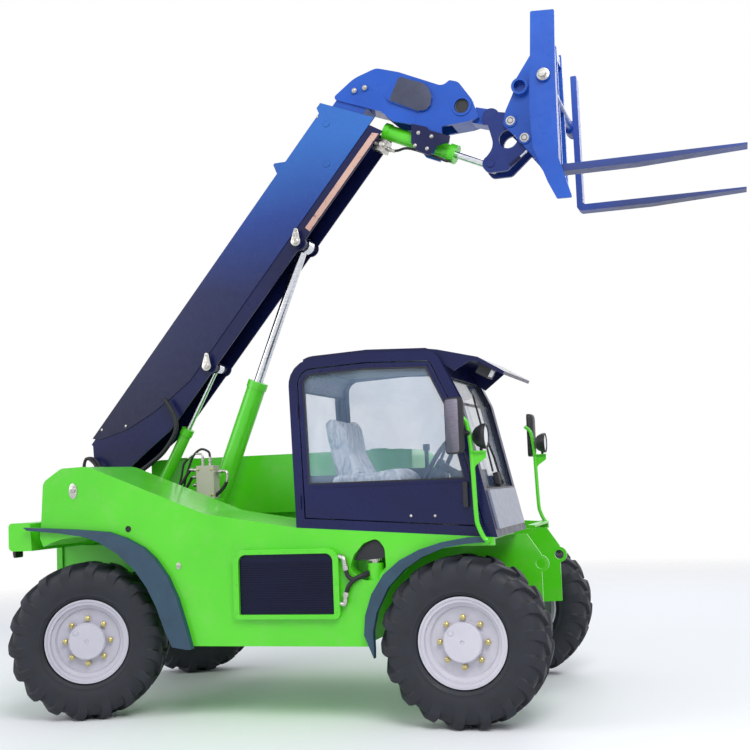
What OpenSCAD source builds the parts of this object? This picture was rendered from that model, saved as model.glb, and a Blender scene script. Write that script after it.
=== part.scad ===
// Compact telehandler, parked with its boom raised and retracted.
// +X is the travel direction, +Y the machine's left, +Z up; the ground is Z = 0.
// Lengths along the machine are measured from its middle, midway between the cab and the boom's foot,
// and place() then moves everything so that the origin is under the middle of the whole outline.

/* [Wheels and axles] */
// Distance between the front and the rear axle
wheelbase = 2490; // [2450:10:2520]
// Front axle's distance ahead of the middle
front_axle_x = 1220; // [1200:5:1230]
// Distance between the wheel centres across the machine
track = 1680; // [1660:5:1700]
// Tyre diameter out to the lug tips
tyre_d = 960; // [940:5:966]
// Tyre section width
tyre_w = 310; // [290:5:320]
// Rim diameter at its flanges
rim_d = 511; // [480:1:520]
// Rim width over its flanges
rim_w = 250; // [220:5:260]
// Bolt circle of the wheel studs
stud_pcd = 275; // [240:5:300]
// Studs in one wheel
stud_n = 8; // [6:1:10]
// Distance from a kingpin to its wheel's middle
kingpin_offset = 175; // [165:5:185]
// Rear steering angle at rest
steer_rest = 20; // [0:1:22]

/* [Body] */
// Half width of the side bodies
body_half = 930; // [920:5:940]
// Height of the side bodies' lower edge
sill_z = 453; // [430:1:480]
// Height of the raised rear quarter
quarter_z = 1552; // [1540:1:1560]
// Front end of the side bodies
body_front_x = 1420; // [1400:5:1450]
// Radius of the front arches in the outer skin
front_arch_r = 530; // [525:5:540]
// Radius of the front arches behind the skin
front_well_r = 600; // [590:5:610]
// Radius of the rear arches
rear_arch_r = 640; // [630:5:650]
// How far the rubber lips stand out from the side
lip_out = 42; // [30:1:50]

/* [Chassis] */
// Offset of the boom's middle plane to the left
boom_y = 140; // [136:1:144]
// Thickness of the main plates and the boom tower's plates
plate_t = 20; // [16:1:22]
// Clear distance between the tower's plates
tower_gap = 274; // [272:1:278]
// Half distance between the main plates' outer faces
rail_half = 370; // [366:1:371]
// Diameter of the front tow eyes
eye_d = 60; // [50:1:64]
// Diameter of the rear tow bore
tow_d = 42; // [36:1:48]

/* [Boom] */
// Boom angle above level at rest
boom_angle = 49.8; // [49:0.1:50.5]
// Boom pivot's distance from the middle
pivot_x = -1600; // [-1605:1:-1595]
// Boom pivot height
pivot_z = 1480; // [1475:1:1485]
// Outer section's depth
outer_h = 265; // [260:1:268]
// Outer section's width
outer_w = 230; // [226:1:232]
// Wall of the boom sections
boom_wall = 12; // [10:1:14]
// Gap round the inner section
slide_gap = 9; // [7:1:11]
// Length of the outer section from the pivot
outer_len = 3060; // [3040:5:3070]
// Depth of the side plates below the pivot line
skirt_z = 190; // [186:1:194]
// Thickness of the side plates
skirt_t = 10; // [8:1:10]
// Boom pin diameter
pivot_d = 70; // [60:1:80]

/* [Cylinders] */
// Lift cylinder tube diameter
lift_tube_d = 132; // [120:1:134]
// Lift cylinder rod diameter
lift_rod_d = 66; // [55:1:75]
// Levelling cylinder tube diameter
level_tube_d = 80; // [70:1:90]
// Levelling cylinder rod diameter
level_rod_d = 40; // [32:1:45]
// Tilt cylinder tube diameter
tilt_tube_d = 106; // [96:1:108]
// Tilt cylinder rod diameter
tilt_rod_d = 48; // [40:1:52]

/* [Carriage] */
// Overall width of the fork carriage
carriage_w = 1240; // [1200:10:1260]
// Fork blade length ahead of the shank
fork_len = 1090; // [1050:10:1120]
// Fork section width
fork_w = 110; // [90:5:115]
// Fork section thickness
fork_t = 42; // [36:1:46]
// Distance between the forks' middle planes
fork_pitch = 1080; // [1000:10:1080]
// Fork shaft diameter
shaft_d = 50; // [44:1:54]

/* [Cab] */
// Cab width
cab_w = 870; // [850:5:880]
// Depth of the cab's posts and rails
cab_t = 55; // [50:1:60]
// Thickness of the cab's side walls and door
side_t = 45; // [40:1:50]
// Glass thickness
glass_t = 6; // [5:1:8]
// Height of the side windows' lower edge
waist_z = 1391; // [1380:1:1400]

/* [Hidden] */
$fn = 48;

fit = 0.05;                 // radial clearance of a pin in its bore
axle_z = tyre_d / 2;
rear_axle_x = front_axle_x - wheelbase;
kingpin_y = track / 2 - kingpin_offset;
rear_arch_x = rear_axle_x + 50;

boom_half = outer_w / 2;
boom_top = 255;             // outer section's top above the pivot line
boom_low = boom_top - outer_h;
inner_w = outer_w - 2 * (boom_wall + slide_gap);
inner_h = outer_h - 2 * (boom_wall + slide_gap);
inner_low = boom_low + boom_wall + slide_gap;
cover_y = boom_half + skirt_t;
head_cut = [[3118, 262], [3240, -94]];  // the head's rear face, in the boom's own axes

function in_boom(p) = [
    pivot_x + p[0] * cos(boom_angle) - p[1] * sin(boom_angle),
    pivot_z + p[0] * sin(boom_angle) + p[1] * cos(boom_angle)
];
lift_eye = in_boom([2190, -156]);
lift_base = [-1027, 700];
level_eye = in_boom([1120, -148]);
level_base = [-1360, 1170];
tilt_base = [870, 3645];    // the tilt cylinder's trunnion
tilt_eye = [1300, 3450];
hitch = [1316, 3763];       // the pivot between the head and the coupler
hook_pin = [1452, 3709];
lock_pin = [1539, 3585];
fork_shaft = [1760, 3803];

cab_y0 = -body_half;
cab_y1 = cab_y0 + cab_w;
cab_corners = [              // X, Z and corner radius
    [240, deck(240), 0], [215, 2122, 150], [700, 2142, 0], [1125, 2124, 90], [1262, 1838, 120],
        [1440, deck(1440), 0]
];
cab_mid_y = cab_y0 + cab_w / 2;

fork_tip_x = 1778 + fork_t + fork_len;
rear_end_x = rear_axle_x - (kingpin_offset + tyre_w / 2 - 37) * sin(steer_rest)
    - (tyre_d / 2 - 2) * cos(steer_rest);
origin_x = (fork_tip_x + rear_end_x) / 2;

// ---------- helpers ----------
module place() { translate([-origin_x, 0, 0]) children(); }

// A flat outline in X and Z, made solid from y0 to y0 + t.
module slab(y0, t) { translate([0, y0 + t, 0]) rotate([90, 0, 0]) linear_extrude(t) children(); }

// The same on both sides of the plane y, from inner to outer away from it.
module slabs(inner, outer, y = 0) { for (side = [-1, 1])
    slab(y + (side > 0 ? inner : -outer), outer - inner) children(); }

// A round bar along Y through the point p, centred on y.
module bar_y(p, d, len, y = boom_y) { translate([p[0], y - len / 2, p[1]]) rotate([-90, 0, 0])
    cylinder(d = d, h = len); }

// Two bars like it, from inner to outer away from the plane y.
module bars_y(p, d, inner, outer, y = boom_y) {
    for (side = [-1, 1]) translate([p[0], y + side * inner, p[1]]) rotate([-90 * side, 0, 0])
        cylinder(d = d, h = outer - inner);
}

// One bar like it on one side of the machine.
module bar_out(side, p, d, inner, outer) {
    translate([p[0], side * inner, p[1]]) rotate([-90 * side, 0, 0]) cylinder(d = d, h = outer - inner);
}

// Turns what is drawn along +X so that it runs from a towards b, in the plane y.
module along(a, b, y = boom_y) {
    translate([a[0], y, a[1]]) rotate([0, -atan2(b[1] - a[1], b[0] - a[0]), 0]) children();
}
module in_boom_axes() { translate([pivot_x, boom_y, pivot_z]) rotate([0, -boom_angle, 0]) children(); }

function unit(v) = v / norm(v);
function xy(p) = [p[0], p[1]];
function corner(a, b, c, n) = let (r = b[2]) r == undef || r == 0 ? [xy(b)] :
    let (u = unit(xy(a) - xy(b)), v = unit(xy(c) - xy(b)), half = acos(u * v) / 2,
        mid = xy(b) + unit(u + v) * r / sin(half),
        from = xy(b) + u * r / tan(half) - mid,
        to = xy(b) + v * r / tan(half) - mid)
    [for (k = [0:n]) mid + r * unit(from * (n - k) + to * k)];

// The outline through the corners p, each rounded to the radius that is its third number.
function rounded(p, n = 6) = [for (i = [0:len(p) - 1])
    each corner(p[(i + len(p) - 1) % len(p)], p[i], p[(i + 1) % len(p)], n)];

// The corners of a convex outline moved inwards by d.
function inset(p, d) = [for (i = [0:len(p) - 1])
    let (b = p[i], u = unit(xy(p[(i + len(p) - 1) % len(p)]) - xy(b)),
        v = unit(xy(p[(i + 1) % len(p)]) - xy(b)), half = acos(u * v) / 2,
        q = xy(b) + unit(u + v) * d / sin(half)) [q[0], q[1], b[2] > d ? b[2] - d : 0]];

// ---------- wheels ----------
lug_n = 18;                 // lugs on each half of a tread
lug_pitch = 360 / lug_n;
lug_lead = 10;              // turn of a lug's inner end against its shoulder
plain_n = 2 * lug_n;
tread_n = 4 * lug_n;
shoulder_y = tyre_w / 2 - 37;
near_lug = [[0, 1], [0.4, 1], [0.45, 0], [0.95, 0]];    // places in the lug's pitch, 1 on top of the lug
far_lug = [[-0.05, 0], [0.45, 0], [0.5, 1], [0.9, 1]];

function on_ring(a, p) = [p[1] * cos(a), p[0], p[1] * sin(a)];
function plain_ring(half, y, r, turn) = [for (k = [0:plain_n - 1])
    on_ring((k / 2 + 0.2) * lug_pitch + turn, [half * y, r])];
function tread_ring(half, low, high, turn) = [for (k = [0:lug_n - 1]) for (p = half < 0 ? near_lug : far_lug)
    let (q = p[1] > 0 ? high : low) on_ring((k + p[0]) * lug_pitch + turn, [half * q[0], q[1]])];

// The rings of one half, from the bead to the tread's middle.
function tyre_half(half, lead, r = tyre_d / 2, w = tyre_w / 2, bead = rim_w / 2 - 20) = [
    plain_ring(half, bead, (rim_d / 2 - 21.9) / cos(90 / lug_n), lead / 5),
    plain_ring(half, bead, rim_d / 2 + 3, lead / 5),
    plain_ring(half, rim_w / 2 + 8, rim_d / 2 + 11, lead / 5),
    plain_ring(half, w, r - 135, lead / 5),
    tread_ring(half, [w - 13, r - 64], [w - 2, r - 42], lead / 5),
    tread_ring(half, [shoulder_y - 4, r - 31], [shoulder_y, r - 2], 0),
    tread_ring(half, [10, r - 26], [10, r], -lead)
];
function ring_at(i) = i <= 4 ? i * plain_n : i <= 10 ? 4 * plain_n + (i - 4) * tread_n
    : (i - 6) * plain_n + 6 * tread_n;
function strip(a, b, n) = [for (i = [0:n - 1]) let (j = (i + 1) % n)
    each [[a + i, a + j, b + j], [a + i, b + j, b + i]]];
function widening(a, b) = [for (i = [0:plain_n - 1]) let (j = (i + 1) % plain_n)
    each [[a + i, b + 2 * i + 1, b + 2 * i], [a + i, a + j, b + 2 * i + 1],
        [a + j, b + 2 * j, b + 2 * i + 1]]];
function turned_over(faces) = [for (f = faces) [f[2], f[1], f[0]]];

// A wheel is drawn with its hub face towards -Y and its middle at the origin.
module tyre(side) {
    near = tyre_half(-1, -side * lug_lead);
    far = tyre_half(1, -side * lug_lead);
    color("#22242a") polyhedron(
        points = concat([for (ring = near) each ring], [for (i = [6:-1:0]) each far[i]]),
        faces = concat(
            [for (i = [0:2]) each strip(ring_at(i), ring_at(i + 1), plain_n)],
                widening(ring_at(3), ring_at(4)),
            [for (i = [4:8]) each strip(ring_at(i), ring_at(i + 1), tread_n)],
                turned_over(widening(ring_at(10), ring_at(9))),
            [for (i = [10:12]) each strip(ring_at(i), ring_at(i + 1), plain_n)],
                strip(ring_at(13), 0, plain_n)
        )
    );
}
module rim() {
    f = rim_d / 2;
    w = rim_w / 2;
    plate = w - 62;         // the dish's hub face, where the studs stand
    color("#d4d2d8") {
        rotate([90, 0, 0]) rotate_extrude() polygon([
            [0, w - 34], [40, w - 34], [40, plate - 16], [f - 34, plate - 16], [f - 34, 24 - w],
                [f - 10, -w], [f, -w], [f, 12 - w],
            [f - 22, 18 - w], [f - 22, w - 18], [f, w - 12], [f, w], [f - 12, w], [f - 16, w - 8],
                [f - 28, w - 10], [f - 34, w - 22],
            [f - 34, w - 33], [f - 55, w - 41], [f - 65, plate], [117, plate], [113, plate + 6],
                [113, w - 8], [105, w],
            [14, w], [12, w - 5], [0, w - 5]
        ]);
        for (i = [0:stud_n - 1]) rotate([0, i * 360 / stud_n, 0])
            translate([stud_pcd / 2, -plate + 5, 0]) rotate([90, 0, 0]) cylinder(d = 30, h = 27, $fn = 6);
    }
}

// Puts a wheel's piece at a corner: front is 1 or -1, side is -1 on the right and 1 on the left.
module at_wheel(front, side) {
    at_kingpin(front, side) translate([0, side * kingpin_offset, 0])
        rotate([0, 0, side > 0 ? 180 : 0]) children();
}
module at_kingpin(front, side) {
    translate([front > 0 ? front_axle_x : rear_axle_x, side * kingpin_y, axle_z])
        rotate([0, 0, front > 0 ? 0 : steer_rest]) children();
}
module knuckle(side) {
    color("#3a3f46") difference() {
        union() {
            cylinder(d = 120, h = 148, center = true);
            rotate([-90 * side, 0, 0]) cylinder(d = 130, h = 150);
            translate([0, side * 150, 0]) rotate([-90 * side, 0, 0]) cylinder(d = 190, h = 20);
            rotate([-90 * side, 0, 0]) cylinder(d = 80 - 2 * fit, h = 255);
        }
        cylinder(d = 40 + 2 * fit, h = 160, center = true);
    }
}

// ---------- chassis ----------
rail_low = 556;             // the main plates' lower edge over the axles
rail_end_x = -1702;
tow_eye = [1575, 862];
module tow_bore() { translate([-1800, 0, 820]) rotate([0, 90, 0]) cylinder(d = tow_d, h = 200); }
module rail_outline() {
    difference() {
        union() {
            polygon([
                [rail_end_x, 700], [rail_end_x, 1040], [-1350, 1040], [-1100, 1000], [1480, 1040],
                    [1500, 1040], [1580, 920],
                [1580, 560], [1500, rail_low], [900, rail_low], [860, 520], [-860, 520], [-900, rail_low],
                    [-1560, rail_low]
            ]);
            translate(tow_eye) circle(r = 50);
        }
        translate(tow_eye) circle(d = eye_d);
    }
}
module tower_outline() {
    difference() {
        union() {
            polygon(rounded([
                [rail_end_x + plate_t, 620, 0], [rail_end_x + plate_t, 1040, 0], [-1700, 1100, 60],
                    [-1700, 1500, 60], [-1610, 1575, 60], [-1510, 1540, 60], [-1300, 1250, 80],
                    [-1040, 1010, 0], [-900, 1000, 0], [-900, 620, 0]
            ]));
            translate([pivot_x, pivot_z]) circle(r = 92);
        }
        translate([pivot_x, pivot_z]) circle(d = pivot_d + 2 * fit);
    }
}
module boom_tower() {
    color("#5ad81e") {
        slabs(tower_gap / 2, tower_gap / 2 + plate_t, boom_y) tower_outline();
        bar_y(level_base, 44, tower_gap + 2);
    }
}
module chassis_frame() {
    color("#5ad81e") {
        slabs(rail_half - plate_t, rail_half) rail_outline();
        difference() {
            translate([rail_end_x, plate_t - rail_half, 700]) cube([plate_t, 2 * (rail_half - plate_t), 330]);
            tow_bore();
        }
        translate([-1127, plate_t - rail_half, 560]) cube([200, 2 * (rail_half - plate_t), 60]);
        translate([500, plate_t - rail_half, 560]) cube([120, 2 * (rail_half - plate_t), 60]);
        for (side = [-1, 1]) slab(boom_y + side * 82 - 10, 20) difference() {
            polygon([[-1110, 600], [-1080, 740], [-974, 740], [-944, 600]]);
            translate(lift_base) circle(d = 66);
        }
        bar_y(lift_base, 66, 190);
    }
}
module counterweight() {
    color("#5ad81e") difference() {
        union() {
            difference() {
                slab(-body_half + 20, 2 * body_half - 40)
                    polygon(rounded([[-1745, 1040, 30], [-1745, 1217, 25], [-1585, 1217, 15],
                        [-1575, 1040, 0]]));
                translate([rail_end_x, boom_y - tower_gap / 2 - plate_t - 1, 1000])
                    cube([200, tower_gap + 2 * plate_t + 2, 300]);
            }
            slab(-385, 770) polygon(rounded([[-1745, 700, 30], [-1745, 1120, 0], [rail_end_x, 1120, 0],
                [rail_end_x, 640, 10]]));
        }
        tow_bore();
    }
}

// The beam between the kingpins, with a yoke at each end.
module axle(x) {
    reach = kingpin_y - 66;
    color("#3a3f46") translate([x, 0, axle_z]) {
        rotate([90, 0, 0]) cylinder(d = 126, h = 2 * reach, center = true);
        rotate([90, 0, 0]) cylinder(d = 250, h = 220, center = true);
        for (side = [-1, 1])
            translate([-70, side * (rail_half - plate_t / 2) - 25, 0]) cube([140, 50, rail_low - axle_z]);
        for (side = [-1, 1]) {
            translate([-60, side * (reach - 19) - 15, -100]) cube([120, 30, 200]);
            for (up = [-1, 1]) translate([0, 0, up * 89 - 13]) {
                translate([-50, side > 0 ? reach - 20 : -kingpin_y, 0]) cube([100, 86, 26]);
                translate([0, side * kingpin_y, 0]) cylinder(d = 100, h = 26);
            }
            translate([0, side * kingpin_y, -101]) cylinder(d = 40, h = 202);
        }
    }
}
module front_axle() { axle(front_axle_x); }
module rear_axle() { axle(rear_axle_x); }

// ---------- side bodies ----------
function deck(x) = 1140 - (x - 240) * 0.07;  // the cab's sloping foot
front_top = [[body_front_x, deck(body_front_x), 0], [body_front_x, 1012, 0], [front_axle_x, 1012, 0],
    [front_axle_x, axle_z, 0], [front_axle_x - 575, sill_z, 0]];
rear_foot = [[-440, sill_z, 0], [rear_arch_x, axle_z, 0], [-1500, 1120, 0]];
module side_outline(right) {
    polygon(rounded(concat(
        right ? [[-1491, 1191, 20], [-1472, 1470, 60], [-1340, quarter_z, 80],
            [-1150, quarter_z + 5, 200], [-737, 1391, 500], [-356, 1239, 400], [240, deck(240), 0]]
              : [[-1491, 1240, 40], [630, 1240, 60], [900, deck(900), 80]],
        front_top, rear_foot)));
}
module side_body(side) {
    depth = body_half - rail_half;
    skin = 30;
    color("#5ad81e") difference() {
        union() {
            slab(side > 0 ? rail_half : -body_half, depth) side_outline(side < 0);
            if (side > 0) {
                translate([-1400, 315, 1200]) cube([2000, 80, 40]);
                translate([-1400, 315, 1200]) cube([2000, 20, 404]);
            } else translate([-850, -rail_half - 2, 1300]) cube([190, rail_half - 18, 20]);
        }
        slab(side > 0 ? body_half - skin - 1 : -body_half - 1, skin + 2) wells(front_arch_r);
        slab(side > 0 ? rail_half - 1 : -body_half + skin, depth - skin + 1) wells(front_well_r);
        if (side > 0) translate([-1060, rail_half + 60, 560]) cube([1560, depth - 100, 700]);
        else {
            slab(-body_half - 1, 28) recess_outline();
            slab(-body_half - 1, 126) difference() {
                recess_outline();
                translate([front_axle_x, axle_z]) circle(r = front_well_r + 15);
            }
        }
    }
    if (side < 0) color("#5ad81e") translate([neck_x, 62 - body_half, 800]) cylinder(d = 96, h = 125);
}
neck_x = 700;               // the filler's neck stands in a recess ahead of the cooler
module recess_outline() {
    polygon(rounded([[560, 895, 40], [590, 975, 60], [650, 1040, 60], [735, 1070, 45], [778, 1010, 60],
        [784, 860, 30], [740, 830, 40], [650, 828, 30]]));
}
module wells(front_r) {
    translate([front_axle_x, axle_z]) circle(r = front_r);
    translate([rear_arch_x, axle_z]) circle(r = rear_arch_r);
}
module fender_lips() {
    color("#20252c") slabs(body_half, body_half + lip_out) {
        polygon([
            [703, 392], [649, 522], [659, 633], [701, 753], [775, 863], [874, 942], [993, 1000],
                [1119, 1037], [1265, 1060], [1372, 1062],
            [1372, 1032], [1263, 1026], [1139, 1007], [1012, 959], [904, 891], [804, 792], [729, 652],
                [703, 542], [705, 442]
        ]);
        polygon([
            [-1596, 1190], [-1218, 1168], [-995, 1148], [-872, 1108], [-751, 1046], [-672, 975],
                [-594, 870], [-531, 739], [-483, 586], [-441, 439],
            [-470, 436], [-569, 451], [-619, 556], [-669, 690], [-733, 810], [-811, 912], [-931, 1016],
                [-1053, 1085], [-1150, 1120], [-1332, 1148], [-1567, 1171]
        ]);
    }
}
module engine_block() {
    color("#4a4d52") translate([-650, rail_half + 100, 560]) cube([900, body_half - rail_half - 180, 600]);
}
module cooler_frame() {
    color("#5ad81e") slab(-body_half - 35, 35) difference() {
        polygon(rounded([[-160, 614, 30], [-160, 1020, 70], [505, 1020, 70], [505, 614, 30]]));
        polygon(rounded([[-125, 640, 8], [-125, 990, 45], [470, 990, 45], [470, 640, 8]]));
    }
}
module cooler_core() {
    color("#1c2140") {
        slab(-body_half - 16, 16)
            polygon(rounded([[-124, 641, 8], [-124, 989, 44], [469, 989, 44], [469, 641, 8]]));
        for (k = [0:fin_n - 1]) translate([-116, -body_half - 22, 655 + k * 284 / (fin_n - 1)])
            cube([577, 7, 5]);
    }
}
fin_n = 22;                 // fins across the cooler
module filler_neck() {
    color("#c8ccd2") translate([neck_x, 62 - body_half, 925]) {
        cylinder(d = 56, h = 12);
        difference() {
            translate([0, 0, 12]) cylinder(d = 82, h = 26);
            for (a = [0:20:340]) rotate([0, 0, a]) translate([43, 0, 11]) cylinder(d = 9, h = 28);
        }
    }
}

// ---------- cab ----------
function floor_z(x) = deck(x) + cab_t * norm([1, 0.07]) + 0.02;
wheel_at = [1010, 1480];    // the steering wheel's middle
wheel_tilt = 60;
module cab_outline(d = 0) { polygon(rounded(inset(cab_corners, d))); }
module above(z) { translate([0, z]) square([2000, 1500]); }
module cab_frame() {
    clear_y = cab_w - 2 * side_t;
    color("#1d2552") difference() {
        slab(cab_y0, cab_w) cab_outline();
        slab(cab_y0 + side_t, clear_y) cab_outline(cab_t);
        slab(cab_y0 - 1, side_t + 2) cab_outline(cab_t);
        slab(cab_y1 - side_t - 1, side_t + 2) intersection() {
            cab_outline(cab_t + 15);
            above(waist_z);
        }
        translate([100, cab_y0 + 80, waist_z + 40]) cube([300, cab_w - 160, 520]);
        translate([1100, cab_y0 + 60, 1330]) cube([400, cab_w - 120, 640]);
        translate([330, cab_y0 + 70, 2000]) cube([700, cab_w - 140, 300]);
    }
}
module cab_roof() {
    color("#1d2552") difference() {
        union() {
            slab(cab_y0 + 40, cab_w - 80) intersection() {
                translate([0, 22]) cab_outline();
                translate([300, 2000]) square([760, 300]);
            }
            slab(cab_y0 + 40, cab_w - 80)
                polygon([[1030, 2100], [1030, 2149], [1125, 2135], [1363, 2076], [1514, 1984],
                    [1506, 1966], peak_lamp, [1120, 2080]]);
            slab(cab_y0 + 40, 10) polygon([[1110, 2080], [1250, 2098], [1330, 2066], [1225, 2005]]);
            slab(cab_y1 - 146, 10) polygon([[1110, 2080], [1250, 2098], peak_lamp, [1385, 2035],
                [1249, 1931], [1180, 1980]]);
        }
        slab(cab_y0, cab_w) cab_outline();
    }
}
peak_lamp = [1356, 2052];   // the bend in the underside of the roof's peak, where the lamp hangs
module cab_glass() {
    color("#9fc4e0", 0.4) {
        slab(cab_y0 + 60, cab_w - 120) intersection() {
            difference() {
                cab_outline(20);
                cab_outline(20 + glass_t);
            }
            translate([1100, 1330]) square([400, 640]);
        }
        slab(cab_y0 + 80, cab_w - 160) intersection() {
            difference() {
                cab_outline(20);
                cab_outline(20 + glass_t);
            }
            translate([100, waist_z + 40]) square([200, 520]);
        }
        slab(cab_y1 - 26, glass_t) intersection() {
            cab_outline(cab_t + 15);
            above(waist_z);
        }
    }
}
module cab_front_panel() {
    color("#8c92a6") slab(cab_y0 + 60, cab_w - 120) intersection() {
        difference() {
            translate([14, 0]) cab_outline();
            cab_outline();
        }
        translate([1300, 1100]) square([400, 220]);
    }
}
module dashboard() {
    color("#26282e") {
        slab(cab_y0 + 130, cab_w - 260)
            polygon([[1190, floor_z(1190)], [1150, 1420], [1230, 1440], [1290, floor_z(1290)]]);
        translate([wheel_at[0], cab_mid_y, wheel_at[1]]) rotate([0, 180 - wheel_tilt, 0])
            translate([0, 0, 15]) cylinder(d = 44, h = 175);
    }
}
module steering_wheel() {
    color("#202226") translate([wheel_at[0], cab_mid_y, wheel_at[1]]) rotate([0, -wheel_tilt, 0]) {
        rotate_extrude() translate([175, 0]) circle(d = 28);
        cylinder(d = 70, h = 30, center = true);
        for (a = [90:120:330]) rotate([0, 0, a]) translate([0, -12, -6]) cube([175, 24, 12]);
    }
}
seat_z = 1336;              // underside of the seat cushion
module seat_base() {
    color("#26282e") slab(cab_mid_y - 190, 380)
        polygon([[400, floor_z(400)], [400, seat_z], [800, seat_z], [800, floor_z(800)]]);
}
module seat_cushions() {
    color("#2c2e33") {
        slab(cab_mid_y - 230, 460) polygon(rounded([
            [370, seat_z, 20], [370, seat_z + 85, 30], [600, seat_z + 80, 60], [850, seat_z + 110, 45],
                [850, seat_z + 20, 30], [800, seat_z, 10]
        ]));
        slab(cab_mid_y - 215, 430) polygon(rounded([
            [425, seat_z + 60, 10], [345, 1785, 35], [430, 1795, 40], [470, 1560, 90], [545, seat_z + 70, 10]
        ]));
    }
}
module joystick_console() {
    color("#26282e") {
        slab(cab_y1 - 199, 109) polygon(rounded([[640, floor_z(640), 0], [640, 1465, 30], [980, 1465, 30],
            [980, floor_z(980), 0]]));
        translate([850, cab_y1 - 145, 1440]) cylinder(d = 26, h = 150);
        translate([850, cab_y1 - 145, 1575]) cylinder(d = 44, h = 40);
    }
}
module mirror_rails() {
    color("#5ad81e") for (side = [-1, 1]) {
        bar_path(side * rail_y, [[1266, 1745], [1312, 1690], [1330, 1469], [1340, 1157], [1397, 1040]]);
        slab(side * rail_y - 12, 24) polygon([[1324, 1510], [1360, lamp_foot_z], [1412, lamp_foot_z],
            [1417, 1484], [1334, 1446]]);
        bar_out(side, [1394, 1040], 20, body_half, rail_y);
        if (side < 0) bar_out(side, [1268, 1743], 20, -cab_y0, rail_y);
    }
}
rail_y = body_half + 70;    // the mirror rails' distance from the middle
lamp_foot_z = 1540;
module bar_path(y, pts) {
    slab(y - 12, 24) for (i = [0:len(pts) - 2]) translate(pts[i]) {
        step = pts[i + 1] - pts[i];
        rotate(atan2(step[1], step[0])) translate([0, -12]) square([norm(step), 24]);
        circle(d = 26);
    }
}
module mirrors() {
    color("#20232b") for (side = [-1, 1]) {
        bar_out(side, [1312, 1640], 16, rail_y + 12, rail_y + (side < 0 ? 96 : 30));
        translate([side < 0 ? 1262 : 1297, side * (rail_y + (side < 0 ? 75 : 94)), 1525])
            rotate([0, 0, side < 0 ? -40 : 90])
            translate([-70, -22, 0]) difference() {
                cube([140, 44, 314]);
                translate([8, -1, 8]) cube([124, 5, 298]);
            }
    }
}
module headlamps() {
    color("#20232b") for (side = [-1, 1]) {
        translate([1340, side * (rail_y - 15), 1620]) rotate([0, 90, 0]) rotate([0, 0, 90]) rotate_extrude()
            polygon([[0, 0], [30, 0], [52, 18], [65, 42], [71, 58], [71, 76], [63, 76], [63, 68], [0, 68]]);
        translate([1386, side * rail_y, lamp_foot_z]) cylinder(d = 18, h = 30);
    }
}
module work_lamp() {
    color("#20232b") translate([peak_lamp[0], cab_y0 + 90, peak_lamp[1] - 0.02])
        rotate([0, atan2(86, 150), 0]) difference() {
        translate([12, 0, -62]) cube([76, 140, 62]);
        translate([78, 8, -54]) cube([20, 124, 46]);
    }
}
module valve_block() {
    color("#b9b4a8") translate([-820, -110, 1320]) cube([130, 90, 226]);
}
module door_outline(d) { polygon(rounded(inset(cab_corners, cab_t + d))); }
module cab_door() {
    color("#1d2552") {
        difference() {
            slab(cab_y0, side_t - 7) door_outline(6);
            slab(cab_y0 - 1, side_t + 2) intersection() {
                door_outline(66);
                above(waist_z);
            }
        }
        for (z = [1250, 1780]) translate([272, cab_y0 - 6, z]) {
            cylinder(d = 11, h = 80);
            cube([40, 5.8, 80]);
            translate([32, 0, 0]) cube([18, 8, 80]);
        }
    }
}
module door_glass() {
    color("#9fc4e0", 0.4) slab(cab_y0 + 16, glass_t) intersection() {
        door_outline(66.2);
        above(waist_z + 0.2);
    }
}
module door_handle() {
    color("#202226") translate([1262, cab_y0 - 34, 1230]) difference() {
        cube([26, 34, 140]);
        translate([-1, 12, 20]) cube([28, 23, 100]);
    }
}
module engine_cover() {
    color("#5ad81e") {
        difference() {
            hood_shape(-1400, 600, 342, 927, 1242, 1610, 60);
            hood_shape(-1375, 575, 300, 902, 1100, 1590, 40);
            for (x = [-1240, -560]) for (k = [0:7])
                translate([x, body_half - 60, 1290 + k * 32]) cube([480, 80, 12]);
        }
        for (x = [-1200, 300]) {
            translate([x, 330, 1612]) rotate([0, 90, 0]) cylinder(d = 14, h = 120);
            translate([x, 330, 1608]) cube([120, 70, 6]);
        }
    }
}
// A box whose upper edges are rounded.
module hood_shape(x0, x1, y0, y1, z0, z1, r) {
    intersection() {
        slab(y0, y1 - y0) polygon(rounded([[x0, z0, 0], [x0, z1, r], [x1, z1, r * 1.4], [x1, z0, 0]]));
        translate([x0, 0, 0]) rotate([90, 0, 90]) linear_extrude(x1 - x0)
            polygon(rounded([[y0, z0, 0], [y0, z1, 0], [y1, z1, r], [y1, z0, 0]]));
    }
}

// ---------- boom ----------
module boom_outer() {
    color("#20306c") in_boom_axes() difference() {
        union() {
            translate([120, -boom_half, boom_low]) cube([outer_len - 120, outer_w, outer_h]);
            slabs(boom_half, cover_y) difference() {
                union() {
                    polygon(rounded([
                        [-60, -60, 30], [-60, 60, 30], [140, 250, 60], [outer_len, 250, 0],
                            [3140, -skirt_z, 0], [600, -skirt_z, 100], [60, -70, 60]
                    ]));
                    translate([2190, -156]) circle(r = 60);
                    translate([1120, -148]) circle(r = 55);
                    circle(r = 85);
                }
            }
            bars_y([0, 0], 110, 60, boom_half, 0);
            bars_y([2190, -156], 90, 51, cover_y + 14, 0);
            bars_y([1120, -148], 70, 41, cover_y + 14, 0);
        }
        translate([100, -boom_half + boom_wall, boom_low + boom_wall])
            cube([outer_len, outer_w - 2 * boom_wall, outer_h - 2 * boom_wall]);
    }
    color("#c8ccd2") bar_y([pivot_x, pivot_z], pivot_d, tower_gap + 2 * plate_t + 10);
}
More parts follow.
